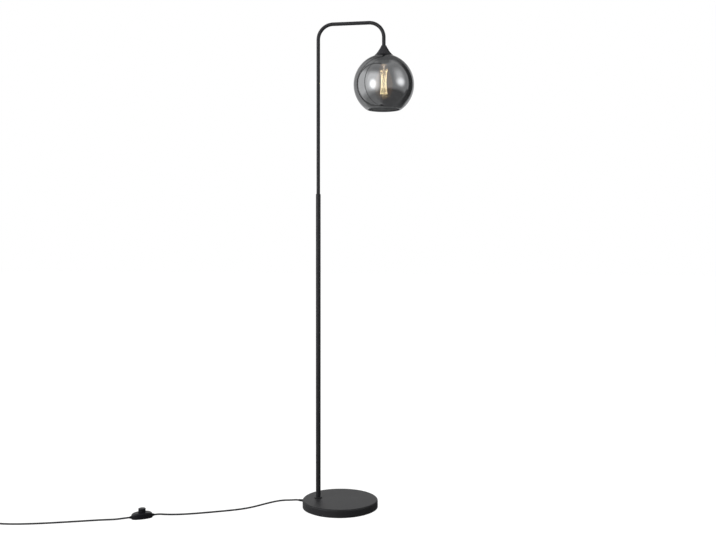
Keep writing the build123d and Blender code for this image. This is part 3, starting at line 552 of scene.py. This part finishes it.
class Bench:
    """Ways of making a mesh with the modelling operators."""

    @staticmethod
    def clear() -> None:
        """Leave edit mode and deselect everything."""
        if bpy.context.object is not None and bpy.context.object.mode != "OBJECT":
            bpy.ops.object.mode_set(mode="OBJECT")
        bpy.ops.object.select_all(action="DESELECT")

    @classmethod
    def take(cls, piece: Piece) -> None:
        """Select one piece and make it the active one."""
        cls.clear()
        piece.select_set(True)
        bpy.context.view_layer.objects.active = piece

    @classmethod
    def profile(cls, name: str, points: Sequence[Vector]) -> Piece:
        """Draw a line through points.

        Args:
            name: Name of the piece.
            points: Corners of the line, in metres.

        Returns:
            The piece, still in edit mode.
        """
        cls.clear()
        bpy.ops.mesh.primitive_plane_add(size=0.01, location=(0, 0, 0))
        piece = bpy.context.active_object
        piece.name = piece.data.name = name
        bpy.ops.object.mode_set(mode="EDIT")
        bpy.ops.mesh.select_all(action="SELECT")
        bpy.ops.mesh.merge(type="CENTER")
        bpy.ops.transform.translate(value=points[0])
        for here, there in zip(points, points[1:]):
            bpy.ops.mesh.extrude_vertices_move(TRANSFORM_OT_translate={"value": there - here})
        return piece

    @staticmethod
    def weld() -> None:
        """Merge the doubles of the mesh in edit mode and turn its faces outwards."""
        bpy.ops.mesh.select_all(action="SELECT")
        bpy.ops.mesh.remove_doubles(threshold=WELD)
        bpy.ops.mesh.normals_make_consistent(inside=False)

    @classmethod
    def lathe(
        cls, name: str, outline: Outline, axis: Vector, steps: int = 96, smooth: float = 35.0
    ) -> Piece:
        """Turn an outline about an upright axis.

        Args:
            name: Name of the piece.
            outline: Radius and height of each corner, in metres. A last corner equal to the first
                closes the section.
            axis: Point on the axis, at height 0.
            steps: Steps round the axis.
            smooth: Angle in degrees under which edges are shaded smooth.

        Returns:
            The piece, at the origin, with its place in its mesh.
        """
        corners = [Vector((axis.x + radius, axis.y, height)) for radius, height in outline]
        piece = cls.profile(name, corners)
        bpy.ops.mesh.select_all(action="SELECT")
        bpy.ops.mesh.spin(steps=steps, angle=math.tau, center=axis, axis=(0, 0, 1))
        cls.weld()
        return cls.smooth(piece, smooth)

    @classmethod
    def smooth(cls, piece: Piece, angle: float) -> Piece:
        """Shade a piece smooth under an angle in degrees, and return it."""
        cls.take(piece)
        bpy.ops.object.shade_smooth_by_angle(angle=math.radians(angle))
        cls.clear()
        return piece

    @classmethod
    def join(cls, name: str, pieces: Sequence[Piece]) -> Piece:
        """Join pieces into one.

        Args:
            name: Name of the joined piece.
            pieces: Pieces to join.

        Returns:
            The joined piece.
        """
        cls.take(pieces[0])
        for piece in pieces:
            piece.select_set(True)
        bpy.ops.object.join()
        joined = bpy.context.active_object
        joined.name = joined.data.name = name
        cls.clear()
        return joined

    @classmethod
    def curve(
        cls, name: str, kind: str, points: Sequence[Vector], radius: float, steps: int
    ) -> Piece:
        """Bend a round rod through points.

        Args:
            name: Name of the piece.
            kind: Kind of curve, POLY or NURBS.
            points: Its points, in metres.
            radius: Radius of the rod, in metres.
            steps: Steps round a quarter of its section, less one.

        Returns:
            The curve, with closed ends.
        """
        cls.clear()
        bpy.ops.curve.primitive_nurbs_path_add(location=(0, 0, 0))
        piece = bpy.context.active_object
        piece.name = piece.data.name = name
        piece.data.splines.clear()
        spline = piece.data.splines.new(kind)
        spline.points.add(len(points) - 1)
        for knot, point in zip(spline.points, points):
            knot.co = (*point, 1.0)
        piece.data.bevel_depth = radius
        piece.data.bevel_resolution = steps
        piece.data.use_fill_caps = True
        return piece

    @classmethod
    def wire(cls, name: str, points: Sequence[Vector], radius: float) -> Piece:
        """Bend a wire of a radius through points, both in metres, as a mesh."""
        cls.curve(name, "POLY", points, radius, 2).select_set(True)
        bpy.ops.object.convert(target="MESH")
        piece = bpy.context.active_object
        piece.name = piece.data.name = name
        return cls.smooth(piece, 50.0)


def arc(
    centre: tuple[float, float], radius: float, start: float, end: float, steps: int
) -> list[tuple[float, float]]:
    """Points of an arc in a half section.

    Args:
        centre: Radius and height of the arc's centre.
        radius: Radius of the arc.
        start: First angle in degrees, from the outward direction towards up.
        end: Last angle in degrees.
        steps: Steps along the arc.

    Returns:
        Radius and height of each point.
    """
    turns = [math.radians(start + (end - start) * step / steps) for step in range(steps + 1)]
    return [(centre[0] + radius * math.cos(t), centre[1] + radius * math.sin(t)) for t in turns]


def scaled(outline: Outline, lift: float = 0.0) -> list[tuple[float, float]]:
    """Outline in metres from one in millimetres, raised by a lift in millimetres."""
    return [(radius * MM, (height + lift) * MM) for radius, height in outline]


# ---- cord and switch spring ----------------------------------------------------------------


@dataclass
class MainsCord:
    """Mains cord in two stretches: from the base to the foot switch, and from the switch through its
    put-away coil to its end.
    """

    diameter: float = 5.5
    exit_angle: float = 170.0
    exit_radius: float = 149.5
    exit_height: float = 8.0
    lead: float = 7.0
    switch_place: Point = (-600.0, -226.5, 7.0)
    switch_angle: float = 33.0
    switch_reach: float = 39.0
    coil_start: tuple[float, float] = (-1050.0, -362.0)
    coil_height: float = 3.85
    coil_pitch: float = 6.2
    coil_radius: float = 41.55
    coil_steps: int = 16
    lower_half_turns: int = 5
    upper_half_turns: int = 4
    base_to_switch: list[Point] = field(
        default_factory=lambda: [
            (-161.0, 29.6, 6.9), (-180.0, 33.6, 4.0), (-202.0, 32.6, 2.9), (-221.5, 19.5, 2.75),
            (-240.0, -1.0, 2.75), (-259.0, -26.0, 2.75), (-279.5, -55.0, 2.75),
            (-305.0, -81.5, 2.75), (-341.0, -105.5, 2.75), (-385.5, -128.5, 2.75),
            (-431.0, -151.5, 2.75), (-477.0, -171.5, 2.75), (-515.0, -182.5, 2.9),
            (-539.5, -190.0, 4.6), (-551.5, -195.3, 6.4),
        ]
    )
    switch_to_coil: list[Point] = field(
        default_factory=lambda: [
            (-651.0, -258.0, 6.5), (-666.5, -262.8, 4.9), (-685.0, -265.0, 3.2),
            (-707.0, -269.5, 2.75), (-735.0, -279.5, 2.75), (-773.0, -294.5, 2.75),
            (-818.0, -312.0, 2.75), (-866.0, -330.0, 2.75), (-914.0, -345.5, 2.75),
            (-962.0, -357.2, 2.75), (-1005.0, -362.6, 3.0), (-1022.5, -362.0, 3.85),
        ]
    )
    tail: list[Point] = field(
        default_factory=lambda: [
            (-1090.0, -413.7, 10.05), (-1090.0, -426.2, 10.05), (-1088.9, -438.7, 8.5),
            (-1090.0, -451.2, 7.0), (-1090.0, -463.7, 7.0),
        ]
    )

    def _exit(self, beyond: float) -> Point:
        """Point on the gland's line, a distance beyond its sleeve."""
        turn = math.radians(self.exit_angle)
        reach = self.exit_radius + beyond
        return (reach * math.cos(turn), reach * math.sin(turn), self.exit_height)

    def _switch_end(self, side: int, beyond: float) -> Point:
        """Point on the switch's line, a distance beyond one sleeve."""
        turn = math.radians(self.switch_angle)
        reach = side * (self.switch_reach + beyond)
        x, y, z = self.switch_place
        return (x + reach * math.cos(turn), y + reach * math.sin(turn), z)

    def _coil(self) -> list[Point]:
        """Points of the coil: turns that close in, climb, and open out above.

        Returns:
            Points in millimetres.
        """
        shrink = math.cos(math.pi / self.coil_steps)
        half = self.coil_pitch / 2
        centre_y = self.coil_start[1] - self.coil_radius
        lower, climb = self.lower_half_turns, self.lower_half_turns + 1
        last = climb + self.upper_half_turns
        per_half = self.coil_steps // 2
        points = []
        for step in range(1, last * per_half + per_half // 2):
            halves = step / per_half
            rise = min(max(halves - lower, 0.0), 1.0)
            eased = rise * rise * (3 - 2 * rise)
            radius = self.coil_radius - half * halves
            if halves > lower:
                radius = self.coil_radius - half * lower + half * max(halves - climb, 0.0)
                radius -= half / 2 * math.sin(math.pi * rise)
            turn = math.pi / 2 + halves * math.pi
            points.append(
                (
                    self.coil_start[0] + radius / shrink * math.cos(turn),
                    centre_y - half * eased + radius / shrink * math.sin(turn),
                    self.coil_height + self.coil_pitch * eased,
                )
            )
        return points

    def _lay(self, name: str, points: Iterable[Sequence[float]], *replaced: str) -> Piece:
        """Lay a cord along a smooth curve.

        Args:
            name: Name of the piece.
            points: Control points in millimetres.
            *replaced: Solids that the piece stands for.

        Returns:
            The curve.
        """
        knots = [metres(*point) for point in points]
        piece = Bench.curve(name, "NURBS", knots, self.diameter / 2 * MM, 5)
        spline = piece.data.splines[0]
        spline.order_u = 3
        spline.use_endpoint_u = True
        piece.data.resolution_u = 8
        CORD_SHEATH.dress(piece)
        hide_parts(*replaced)
        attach(piece, Body.STAND.value)
        return piece

    def build(self) -> None:
        first = self._lay(
            "cord_first_stretch",
            [self._exit(0), self._exit(self.lead), *self.base_to_switch,
             self._switch_end(1, self.lead), self._switch_end(1, 0)],
            "cord_base_to_switch",
        )
        second = self._lay(
            "cord_second_stretch",
            [self._switch_end(-1, 0), self._switch_end(-1, self.lead), *self.switch_to_coil,
             *self._coil(), *self.tail],
            "cord_switch_to_coil", "cord_coil", "cord_tail",
        )
        metres(*self._switch_end(-1, 0))


@dataclass
class ReturnSpring:
    """Spring under the foot switch's button, which closes up as the button goes down."""

    turns: int = 6
    wire: float = 1.0
    steps: int = 20
    travel: float = 3.5

    def build(self) -> Piece:
        """Wind the spring in the place of its solid.

        Returns:
            The spring.
        """
        low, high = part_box("switch_spring")
        seat = Vector(((low.x + high.x) / 2, (low.y + high.y) / 2, low.z))
        radius = (high.x - low.x - self.wire * MM) / 2
        rise = high.z - low.z - self.wire * MM
        points = []
        for step in range(self.turns * self.steps + 1):
            share = step / (self.turns * self.steps)
            turn = share * self.turns * math.tau
            across = Vector((radius * math.cos(turn), radius * math.sin(turn), 0))
            points.append(seat + across + Vector((0, 0, self.wire / 2 * MM + rise * share)))
        piece = Bench.wire("return_spring", points, self.wire / 2 * MM)
        BRIGHT_STRIP.dress(piece)
        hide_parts("switch_spring")
        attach(piece, Body.STAND.value)
        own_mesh(piece)
        return piece

# ---- shade and bulb ------------------------------------------------------------------------


@dataclass
class GlobeShade:
    """Smoked glass globe with a ground top and a rounded lip."""

    axis: Vector
    top: float
    radius: float = 100.0
    wall: float = 2.5
    flat_radius: float = 24.3
    hole_radius: float = 21.0
    mouth_radius: float = 57.0
    lip: float = 1.1
    lip_start: float = -25.0
    lip_turn: float = 130.0
    lip_steps: int = 8
    lip_gap: float = 0.6
    chamfer: float = 0.4
    steps: int = 44
    round_steps: int = 128

    def build(self) -> Piece:
        """Blow the globe.

        Returns:
            The glass.
        """
        inner = self.radius - self.wall
        mouth = -math.sqrt(self.radius**2 - self.mouth_radius**2)
        flat = math.sqrt(self.radius**2 - self.flat_radius**2)
        hole = math.sqrt(inner**2 - self.hole_radius**2)
        inner_mouth = math.sqrt(inner**2 - mouth**2)
        top_turn, mouth_turn, inner_turn, hole_turn = (
            math.degrees(math.asin(height / radius))
            for height, radius in (
                (flat, self.radius), (mouth, self.radius), (mouth, inner), (hole, inner)
            )
        )
        outline = arc((0, 0), self.radius, top_turn, mouth_turn + self.lip_gap, self.steps)
        middle = ((self.mouth_radius + inner_mouth) / 2, mouth + self.lip)
        half = (self.mouth_radius - inner_mouth) / 2
        for step in range(self.lip_steps + 1):
            turn = math.radians(self.lip_start - self.lip_turn * step / self.lip_steps)
            outline.append(
                (middle[0] + half * math.cos(turn), middle[1] + self.lip * math.sin(turn))
            )
        outline += arc((0, 0), inner, inner_turn + self.lip_gap, hole_turn, self.steps)
        outline += [
            (self.hole_radius, flat - self.chamfer), (self.hole_radius + self.chamfer, flat),
            (self.flat_radius - self.chamfer, flat), outline[0],
        ]
        outline = scaled(outline, self.top - flat)
        piece = Bench.lathe("globe_glass", outline, self.axis, self.round_steps, 40.0)
        SMOKED_MIRROR.dress(piece)
        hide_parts("globe_shade")
        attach(piece, Body.STAND.value)
        return piece


@dataclass
class ShadeCap:
    """Flared cap with a rolled rim on top of the globe."""

    axis: Vector
    bottom: float
    height: float = 34.0
    wall: float = 1.3
    bore: float = 5.2
    neck_inside: float = 6.8
    inside_drop: float = 0.3
    rim_inside: tuple[float, float] = (31.1, -0.15)
    flank: tuple[tuple[float, float], ...] = (
        (32.0, 0.0), (31.8, 0.5), (28.0, 3.9), (24.3, 7.8), (20.9, 12.1), (17.6, 16.9),
        (14.7, 21.5), (12.1, 26.0), (9.7, 30.5),
    )
    shoulder: tuple[tuple[float, float], ...] = (
        (9.0, 32.0), (8.6, 33.0), (7.9, 33.75), (7.0, 34.0)
    )

    def build(self) -> Piece:
        """Spin the cap.

        Returns:
            The cap.
        """
        roof = self.height - self.wall
        outline = [
            *self.flank, *self.shoulder, (self.bore, self.height),
            (self.bore, roof), (self.neck_inside, roof),
            *((radius - self.wall, height - self.inside_drop)
              for radius, height in reversed(self.flank[1:])),
            self.rim_inside, self.flank[0],
        ]
        piece = Bench.lathe("spun_cap", scaled(outline, self.bottom), self.axis, 96, 40.0)
        POWDER_COAT.dress(piece)
        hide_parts("shade_cap")
        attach(piece, Body.STAND.value)
        return piece


@dataclass
class FilamentBulb:
    """Tear-drop bulb with a threaded cap and a cage of glowing strands."""

    axis: Vector
    glass_top: float
    radius: float = 29.0
    neck: float = 12.3
    neck_length: float = 7.0
    length: float = 116.0
    wall: float = 0.8
    fullness: float = 1.55
    flank_steps: int = 30
    foot_steps: int = 16
    cap_radius: float = 13.1
    cap_bottom: float = -5.5
    thread_start: float = 1.2
    thread_pitch: float = 3.62
    thread_depth: float = 0.75
    thread_turns: int = 4
    thread_steps: int = 10
    thread_round_steps: int = 40
    strands: int = 8
    strand_radius: float = 1.15
    cage_radius: float = 10.9
    cage_drop: float = 23.0
    cage_height: float = 76.0
    cage_twist: float = 90.0
    hottest: float = 0.56
    stem_glow_drop: float = 8.0

    def _on_axis(self, drop: float) -> Vector:
        """Point on the bulb's axis, a drop below the glass's top."""
        return self.axis + metres(0, 0, self.glass_top - drop)

    def _flank(self, inset: float) -> list[tuple[float, float]]:
        """Half section of the glass from neck to foot, moved inwards by an inset."""
        belly = self.radius - inset
        neck = self.neck - inset
        drop = self.length - self.radius
        rows = []
        for step in range(self.flank_steps + 1):
            share = step / self.flank_steps
            height = -self.neck_length - (drop - self.neck_length) * share
            swell = min(share**self.fullness * (1 + self.fullness * (1 - share)), 1.0)
            rows.append((neck + (belly - neck) * math.sin(swell * math.pi / 2), height))
        foot = arc((0.0, -drop), belly, 0, -90, self.foot_steps)
        return [(neck, 0.0)] + rows + foot[1:]

    def _point(self, index: int, top: bool) -> Vector:
        """Where a strand meets its hook."""
        turn = math.radians(index * 360 / self.strands + (self.cage_twist if top else 0))
        height = self.glass_top - self.cage_drop - (0 if top else self.cage_height)
        across = self.cage_radius * math.cos(turn), self.cage_radius * math.sin(turn)
        return self.axis + metres(*across, height)

    def glass(self) -> Piece:
        """Blow the bulb's glass.

        Returns:
            The glass.
        """
        outer = self._flank(0)
        inner = [(max(radius, 0.0), height) for radius, height in reversed(self._flank(self.wall))]
        outline = outer + inner + [outer[0]]
        piece = Bench.lathe("bulb_envelope", scaled(outline, self.glass_top), self.axis, 72, 60.0)
        # Painted amber glow on the glass, about the middle of the filament cage.
        PaintedGlowBulbGlass(self._on_axis(self.cage_drop + self.cage_height / 2)).dress(piece)
        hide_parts("bulb_glass")
        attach(piece, Body.BULB.value)
        return piece

    def _thread(self) -> Piece:
        """Roll the cap's thread, as one turned groove copied up the cap.

        Returns:
            The thread.
        """
        points = []
        for step in range(self.thread_steps + 1):
            share = step / self.thread_steps
            depth = self.thread_depth * (0.5 + 0.5 * math.cos(math.tau * share))
            points.append(metres(self.cap_radius - depth, 0, self.thread_pitch * share))
        piece = Bench.profile("cap_thread", points)
        Bench.take(piece)
        screw = piece.modifiers.new("Thread", "SCREW")
        screw.axis = "Z"
        screw.screw_offset = self.thread_pitch * MM
        screw.iterations = self.thread_turns
        screw.steps = screw.render_steps = self.thread_round_steps
        screw.use_merge_vertices = True
        screw.merge_threshold = WELD
        bpy.ops.object.modifier_apply(modifier=screw.name)
        bpy.ops.object.mode_set(mode="EDIT")
        Bench.weld()
        start = self.glass_top + self.cap_bottom + self.thread_start
        bpy.ops.transform.translate(value=self.axis + metres(0, 0, start))
        Bench.clear()
        return piece

    def cap(self) -> Piece:
        """Make the threaded brass cap.

        Returns:
            The cap.
        """
        thread = self._thread()
        root = self.cap_radius - self.thread_depth
        section = [
            (root - 0.4, 0.0), (self.cap_radius, 0.0), (self.cap_radius, 0.8), (root + 0.1, 1.6),
            (root + 0.1, 18.2), (root - 0.6, 19.6), (10.0, 20.0), (10.0, 19.4), (root - 0.8, 18.8),
            (root - 0.4, 18.0), (root - 0.4, 0.0),
        ]
        outline = scaled(section, self.glass_top + self.cap_bottom)
        body = Bench.lathe("cap_body", outline, self.axis, 72, 35.0)
        joined = Bench.smooth(Bench.join("bulb_screw_cap", [body, thread]), 40.0)
        CAP_BRASS.dress(joined)
        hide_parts("bulb_cap")
        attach(joined, Body.BULB.value)
        return joined

    def filament(self) -> Piece:
        """Run the filament up and down between the hooks.

        Returns:
            The filament.
        """
        points: list[Vector] = []
        for index in range(self.strands):
            ends = [self._point(index, False), self._point(index, True)]
            points += ends if index % 2 == 0 else ends[::-1]
        piece = Bench.wire("glowing_cage", points, self.strand_radius * MM)
        LitFilament(self._on_axis(self.cage_drop + self.cage_height * self.hottest)).dress(piece)
        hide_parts("bulb_filament")
        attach(piece, Body.BULB.value)
        return piece

    def build(self) -> None:
        """Make the bulb's pieces."""
        self.glass()
        self.cap()
        self.filament()
        # The stem gets a painted glow near the neck, standing for the filament's light.
        PaintedGlowStem(self._on_axis(self.stem_glow_drop)).dress(frame["nodes"]["bulb_stem"])


# ---- lamp body -----------------------------------------------------------------------------


@dataclass(frozen=True)
class LampBody:
    """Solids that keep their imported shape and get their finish."""

    coated: tuple[str, ...] = ("base_cover", "foot_ring", "lower_pole", "pole_collar", "swan_neck")
    moulded: tuple[str, ...] = (
        "cord_gland", "switch_base", "switch_cover", "switch_button", "switch_carrier",
        "switch_sleeves", "coil_tie", "plug_sleeve", "plug_body",
    )
    holder: tuple[str, ...] = ("holder_dome", "holder_body", "shade_ring")
    plated: tuple[str, ...] = (
        "base_rod", "base_washer", "base_nut", "pole_plug", "cap_nipple", "cap_spacer",
        "switch_screws", "plug_pins",
    )
    strips: tuple[str, ...] = ("holder_contact", "bulb_tip", "bulb_supports")
    brasses: tuple[str, ...] = ("holder_shell", "switch_clamps")

    def build(self) -> None:
        """Dress every solid that stays in sight."""
        nodes = frame["nodes"]
        for finish, names in (
            (POWDER_COAT, self.coated),
            (BLACK_MOULDING, self.moulded),
            (HOLDER_MOULDING, self.holder),
            (ZINC, self.plated),
            (BRIGHT_STRIP, self.strips),
            (CAP_BRASS, self.brasses),
            (CASTING, ("base_weight",)),
            (FOAM, ("base_pad",)),
            (CORD_SHEATH, ("lamp_cable",)),
            (CERAMIC, ("holder_block",)),
            (VITRITE, ("bulb_insulator",)),
        ):
            finish.dress(*(nodes[name] for name in names))

# ---- studio --------------------------------------------------------------------------------


@dataclass(frozen=True)
class Patch:
    """Softbox, wall or dark table on the dome round the globe.

    Azimuth runs from the camera towards its right, and all angles are in degrees.
    """

    name: str
    azimuth: float
    elevation: float
    half_width: float
    half_height: float
    level: float
    soft: float = 0.5
    shape: float = 4.0

    def inputs(self) -> dict[str, float]:
        """Values of the patch's node group."""
        return {
            "Azimuth": self.azimuth, "Elevation": self.elevation, "Half width": self.half_width,
            "Half height": self.half_height, "Soft": self.soft, "Shape": self.shape,
        }


@dataclass(frozen=True)
class Edge:
    """Thin dark edge of a reflector on the dome, as a ring about a direction."""

    name: str
    azimuth: float
    elevation: float
    radius: float
    half_width: float
    level: float

    def inputs(self) -> dict[str, float]:
        """Values of the ring's node group."""
        turn, tilt = math.radians(self.azimuth), math.radians(self.elevation)
        return {
            "X": math.cos(tilt) * math.sin(turn), "Y": -math.cos(tilt) * math.cos(turn),
            "Z": math.sin(tilt), "Radius": self.radius, "Half width": self.half_width,
        }


@dataclass(frozen=True)
class SoftLamp:
    """Soft square lamp that the glass doesn't mirror, facing the globe.

    Its direction from the globe is given as shares to the camera's right, up and away from it.
    """

    name: str
    right: float
    up: float
    away: float
    distance: float
    size: float
    power: float


@dataclass
class Studio:
    """Camera, floor, lamps and the dome that the glass reflects."""

    azimuth: float = 9.8
    camera: Point = (562.2, -2906.7, 887.5)
    lens: float = 44.75
    sensor: float = 36.0
    shift: float = -30 / 716
    far_clip: float = 60.0
    target: Point = (146.5, 0.0, 1399.5)
    ambient: float = 0.22
    floor_size: float = 40.0
    floor_glow: float = 1.12
    floor_share: float = 0.88
    dome_radius: float = 3.0
    lamps: tuple[SoftLamp, ...] = (
        SoftLamp("Key softbox", -0.80, 0.25, -0.60, 2.4, 1.3, 92.0),
        SoftLamp("Fill softbox", 0.75, 0.15, -0.75, 3.0, 1.2, 8.0),
        SoftLamp("Top light", 0.0, 0.95, -0.30, 1.8, 1.0, 26.0),
    )
    patches: tuple[Patch, ...] = (
        Patch("Room", 0, 10, 150, 80, 0.66, 0.5, 6),
        Patch("Ceiling", 0, 90, 500, 24, 0.42, 0.6, 8),
        Patch("Back ceiling", 180, 58, 90, 44, 0.28, 0.6, 4),
        Patch("Left wall", -108, 6, 56, 70, 0.78, 0.35, 6),
        Patch("Left window", -91, 6, 28, 40, 1.7, 0.45, 5),
        Patch("Key softbox", -44, 6, 37, 44, 2.3, 0.6, 4),
        Patch("Key core", -43, -4, 20, 25, 6.5, 1.0, 2),
        Patch("Fill window", 62, 20, 34, 42, 1.8, 1.0, 3),
        Patch("Fill core", 64, 5, 27, 20, 3.9, 1.0, 2),
        Patch("Table", 0, -72, 500, 40, 0.5, 0.25, 8),
        Patch("Mid table", 80, -68, 138, 42, 0.33, 0.25, 8),
        Patch("Dark table", 84, -62, 119, 49, 0.17, 0.3, 8),
        Patch("Dark table side", 114, -34, 24, 30, 0.2, 0.3, 6),
        Patch("Dark band", 121, 4, 22, 62, 0.06, 0.5, 6),
    )
    edges: tuple[Edge, ...] = (
        Edge("Near edge", -154.6, -1.4, 77.9, 3.2, 0.3),
        Edge("Far edge", -39.1, -7.8, 80.5, 5.0, 0.2),
    )

    def set_camera(self) -> None:
        """Set the camera where the photograph was taken."""
        data = bpy.data.cameras.new("Camera")
        data.lens = self.lens
        data.sensor_width = self.sensor
        data.shift_y = self.shift
        data.clip_end = self.far_clip
        seen = bpy.data.objects.new("Camera", data)
        seen.location = metres(*self.camera)
        seen.rotation_euler = (math.radians(90), 0, math.radians(self.azimuth))
        bpy.context.scene.collection.objects.link(seen)
        bpy.context.scene.camera = seen

    def set_world(self) -> None:
        """Light the room evenly and show it white."""
        world = bpy.data.worlds.new("Studio")
        bpy.context.scene.world = world
        world.use_nodes = True
        nodes = Nodes(world.node_tree)
        level = nodes.add(
            "MapRange", {"Value": nodes.plain_rays(), "To Min": self.ambient, "To Max": 1.0}
        )
        back = nodes.tree.nodes["Background"]
        nodes.fill(back, {"Color": WHITE, "Strength": level.outputs["Result"]})

    def set_floor(self) -> None:
        """Lay a white floor that keeps a soft shadow."""
        Bench.clear()
        bpy.ops.mesh.primitive_plane_add(size=self.floor_size, location=(0, 0, 0))
        floor = bpy.context.active_object
        floor.name = "studio_floor"
        made, nodes = new_material("Studio floor")
        plain = nodes.tree.nodes["Principled BSDF"]
        nodes.fill(plain, {
            "Base Color": (0.85, 0.85, 0.85, 1.0), "Roughness": 0.9, "Specular IOR Level": 0.1,
        })
        glow = nodes.add("Emission", {"Color": WHITE, "Strength": self.floor_glow})
        share = nodes.calc("MULTIPLY", nodes.plain_rays(), self.floor_share)
        nodes.surface(share, plain, glow)
        floor.data.materials.append(made)
        floor.visible_glossy = False

    def hang(self, lamp: SoftLamp) -> None:
        """Hang a soft lamp."""
        data = bpy.data.lights.new(lamp.name, "AREA")
        data.shape = "SQUARE"
        data.size = lamp.size
        data.energy = lamp.power
        light = bpy.data.objects.new(lamp.name, data)
        bpy.context.scene.collection.objects.link(light)
        light.visible_glossy = False
        light.visible_transmission = False
        light.visible_camera = False
        turn = math.radians(self.azimuth)
        across = Vector((math.cos(turn), math.sin(turn), 0))
        ahead = Vector((-math.sin(turn), math.cos(turn), 0))
        direction = (across * lamp.right + ahead * lamp.away + Vector((0, 0, lamp.up))).normalized()
        light.location = metres(*self.target) + direction * lamp.distance
        aim = metres(*self.target) - light.location
        light.rotation_euler = aim.to_track_quat("-Z", "Y").to_euler()

    def set_dome(self) -> None:
        """Set a dome of softboxes round the globe, which only reflections see."""
        Bench.clear()
        bpy.ops.mesh.primitive_uv_sphere_add(
            segments=48, ring_count=24, radius=self.dome_radius, location=(0, 0, 0)
        )
        dome = bpy.context.active_object
        dome.name = "studio_dome"
        bpy.ops.object.mode_set(mode="EDIT")
        bpy.ops.mesh.select_all(action="SELECT")
        bpy.ops.mesh.flip_normals()
        Bench.clear()
        dome.location = metres(*self.target)
        dome.rotation_euler.z = math.radians(self.azimuth)
        made, nodes = new_material("Studio dome")
        nodes.tree.nodes.remove(nodes.tree.nodes["Principled BSDF"])
        place = nodes.add("TexCoord").outputs["Object"]
        level: Socket | float = 1.0
        for group, shapes in (
            (Effects.soft_patch(), self.patches), (Effects.soft_arc(), self.edges)
        ):
            for shape in shapes:
                spot = nodes.add("Group", {"Vector": place, **shape.inputs()}, node_tree=group)
                mask = spot.outputs["Mask"]
                mix = nodes.add("Mix", {"Factor": mask, "A": level, "B": shape.level})
                level = mix.outputs["Result"]
        glow = nodes.add("Emission", {"Strength": level})
        side = nodes.add("NewGeometry").outputs["Backfacing"]
        nodes.surface(side, glow, nodes.add("BsdfTransparent"))
        dome.data.materials.append(made)
        dome.visible_camera = False
        dome.visible_diffuse = False
        dome.visible_transmission = False
        dome.visible_shadow = False

    def build(self) -> None:
        """Set the whole studio."""
        self.set_camera()
        self.set_world()
        self.set_floor()
        for lamp in self.lamps:
            self.hang(lamp)
        self.set_dome()
        bpy.context.scene.view_settings.view_transform = "Standard"


def main() -> None:
    """Build every sub-assembly and report it."""
    logging.basicConfig(level=logging.INFO, format="%(name)s: %(message)s")
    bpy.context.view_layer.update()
    low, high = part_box("globe_shade")
    axis = Vector(((low.x + high.x) / 2, (low.y + high.y) / 2, 0))
    cap_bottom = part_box("shade_cap")[0].z / MM
    glass_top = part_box("bulb_glass")[1].z / MM
    parts: list[tuple[str, Callable[[], object]]] = [
        ("studio", Studio().build),
        ("mains cord", MainsCord().build),
        ("lamp body", LampBody().build),
        ("return spring", ReturnSpring().build),
        ("globe shade", GlobeShade(axis, high.z / MM).build),
        ("shade cap", ShadeCap(axis, cap_bottom).build),
        ("filament bulb", FilamentBulb(axis, glass_top).build),
    ]
    for name, build in parts:
        build()
        LOG.info("built %s", name)


if __name__ == "__main__":
    main()
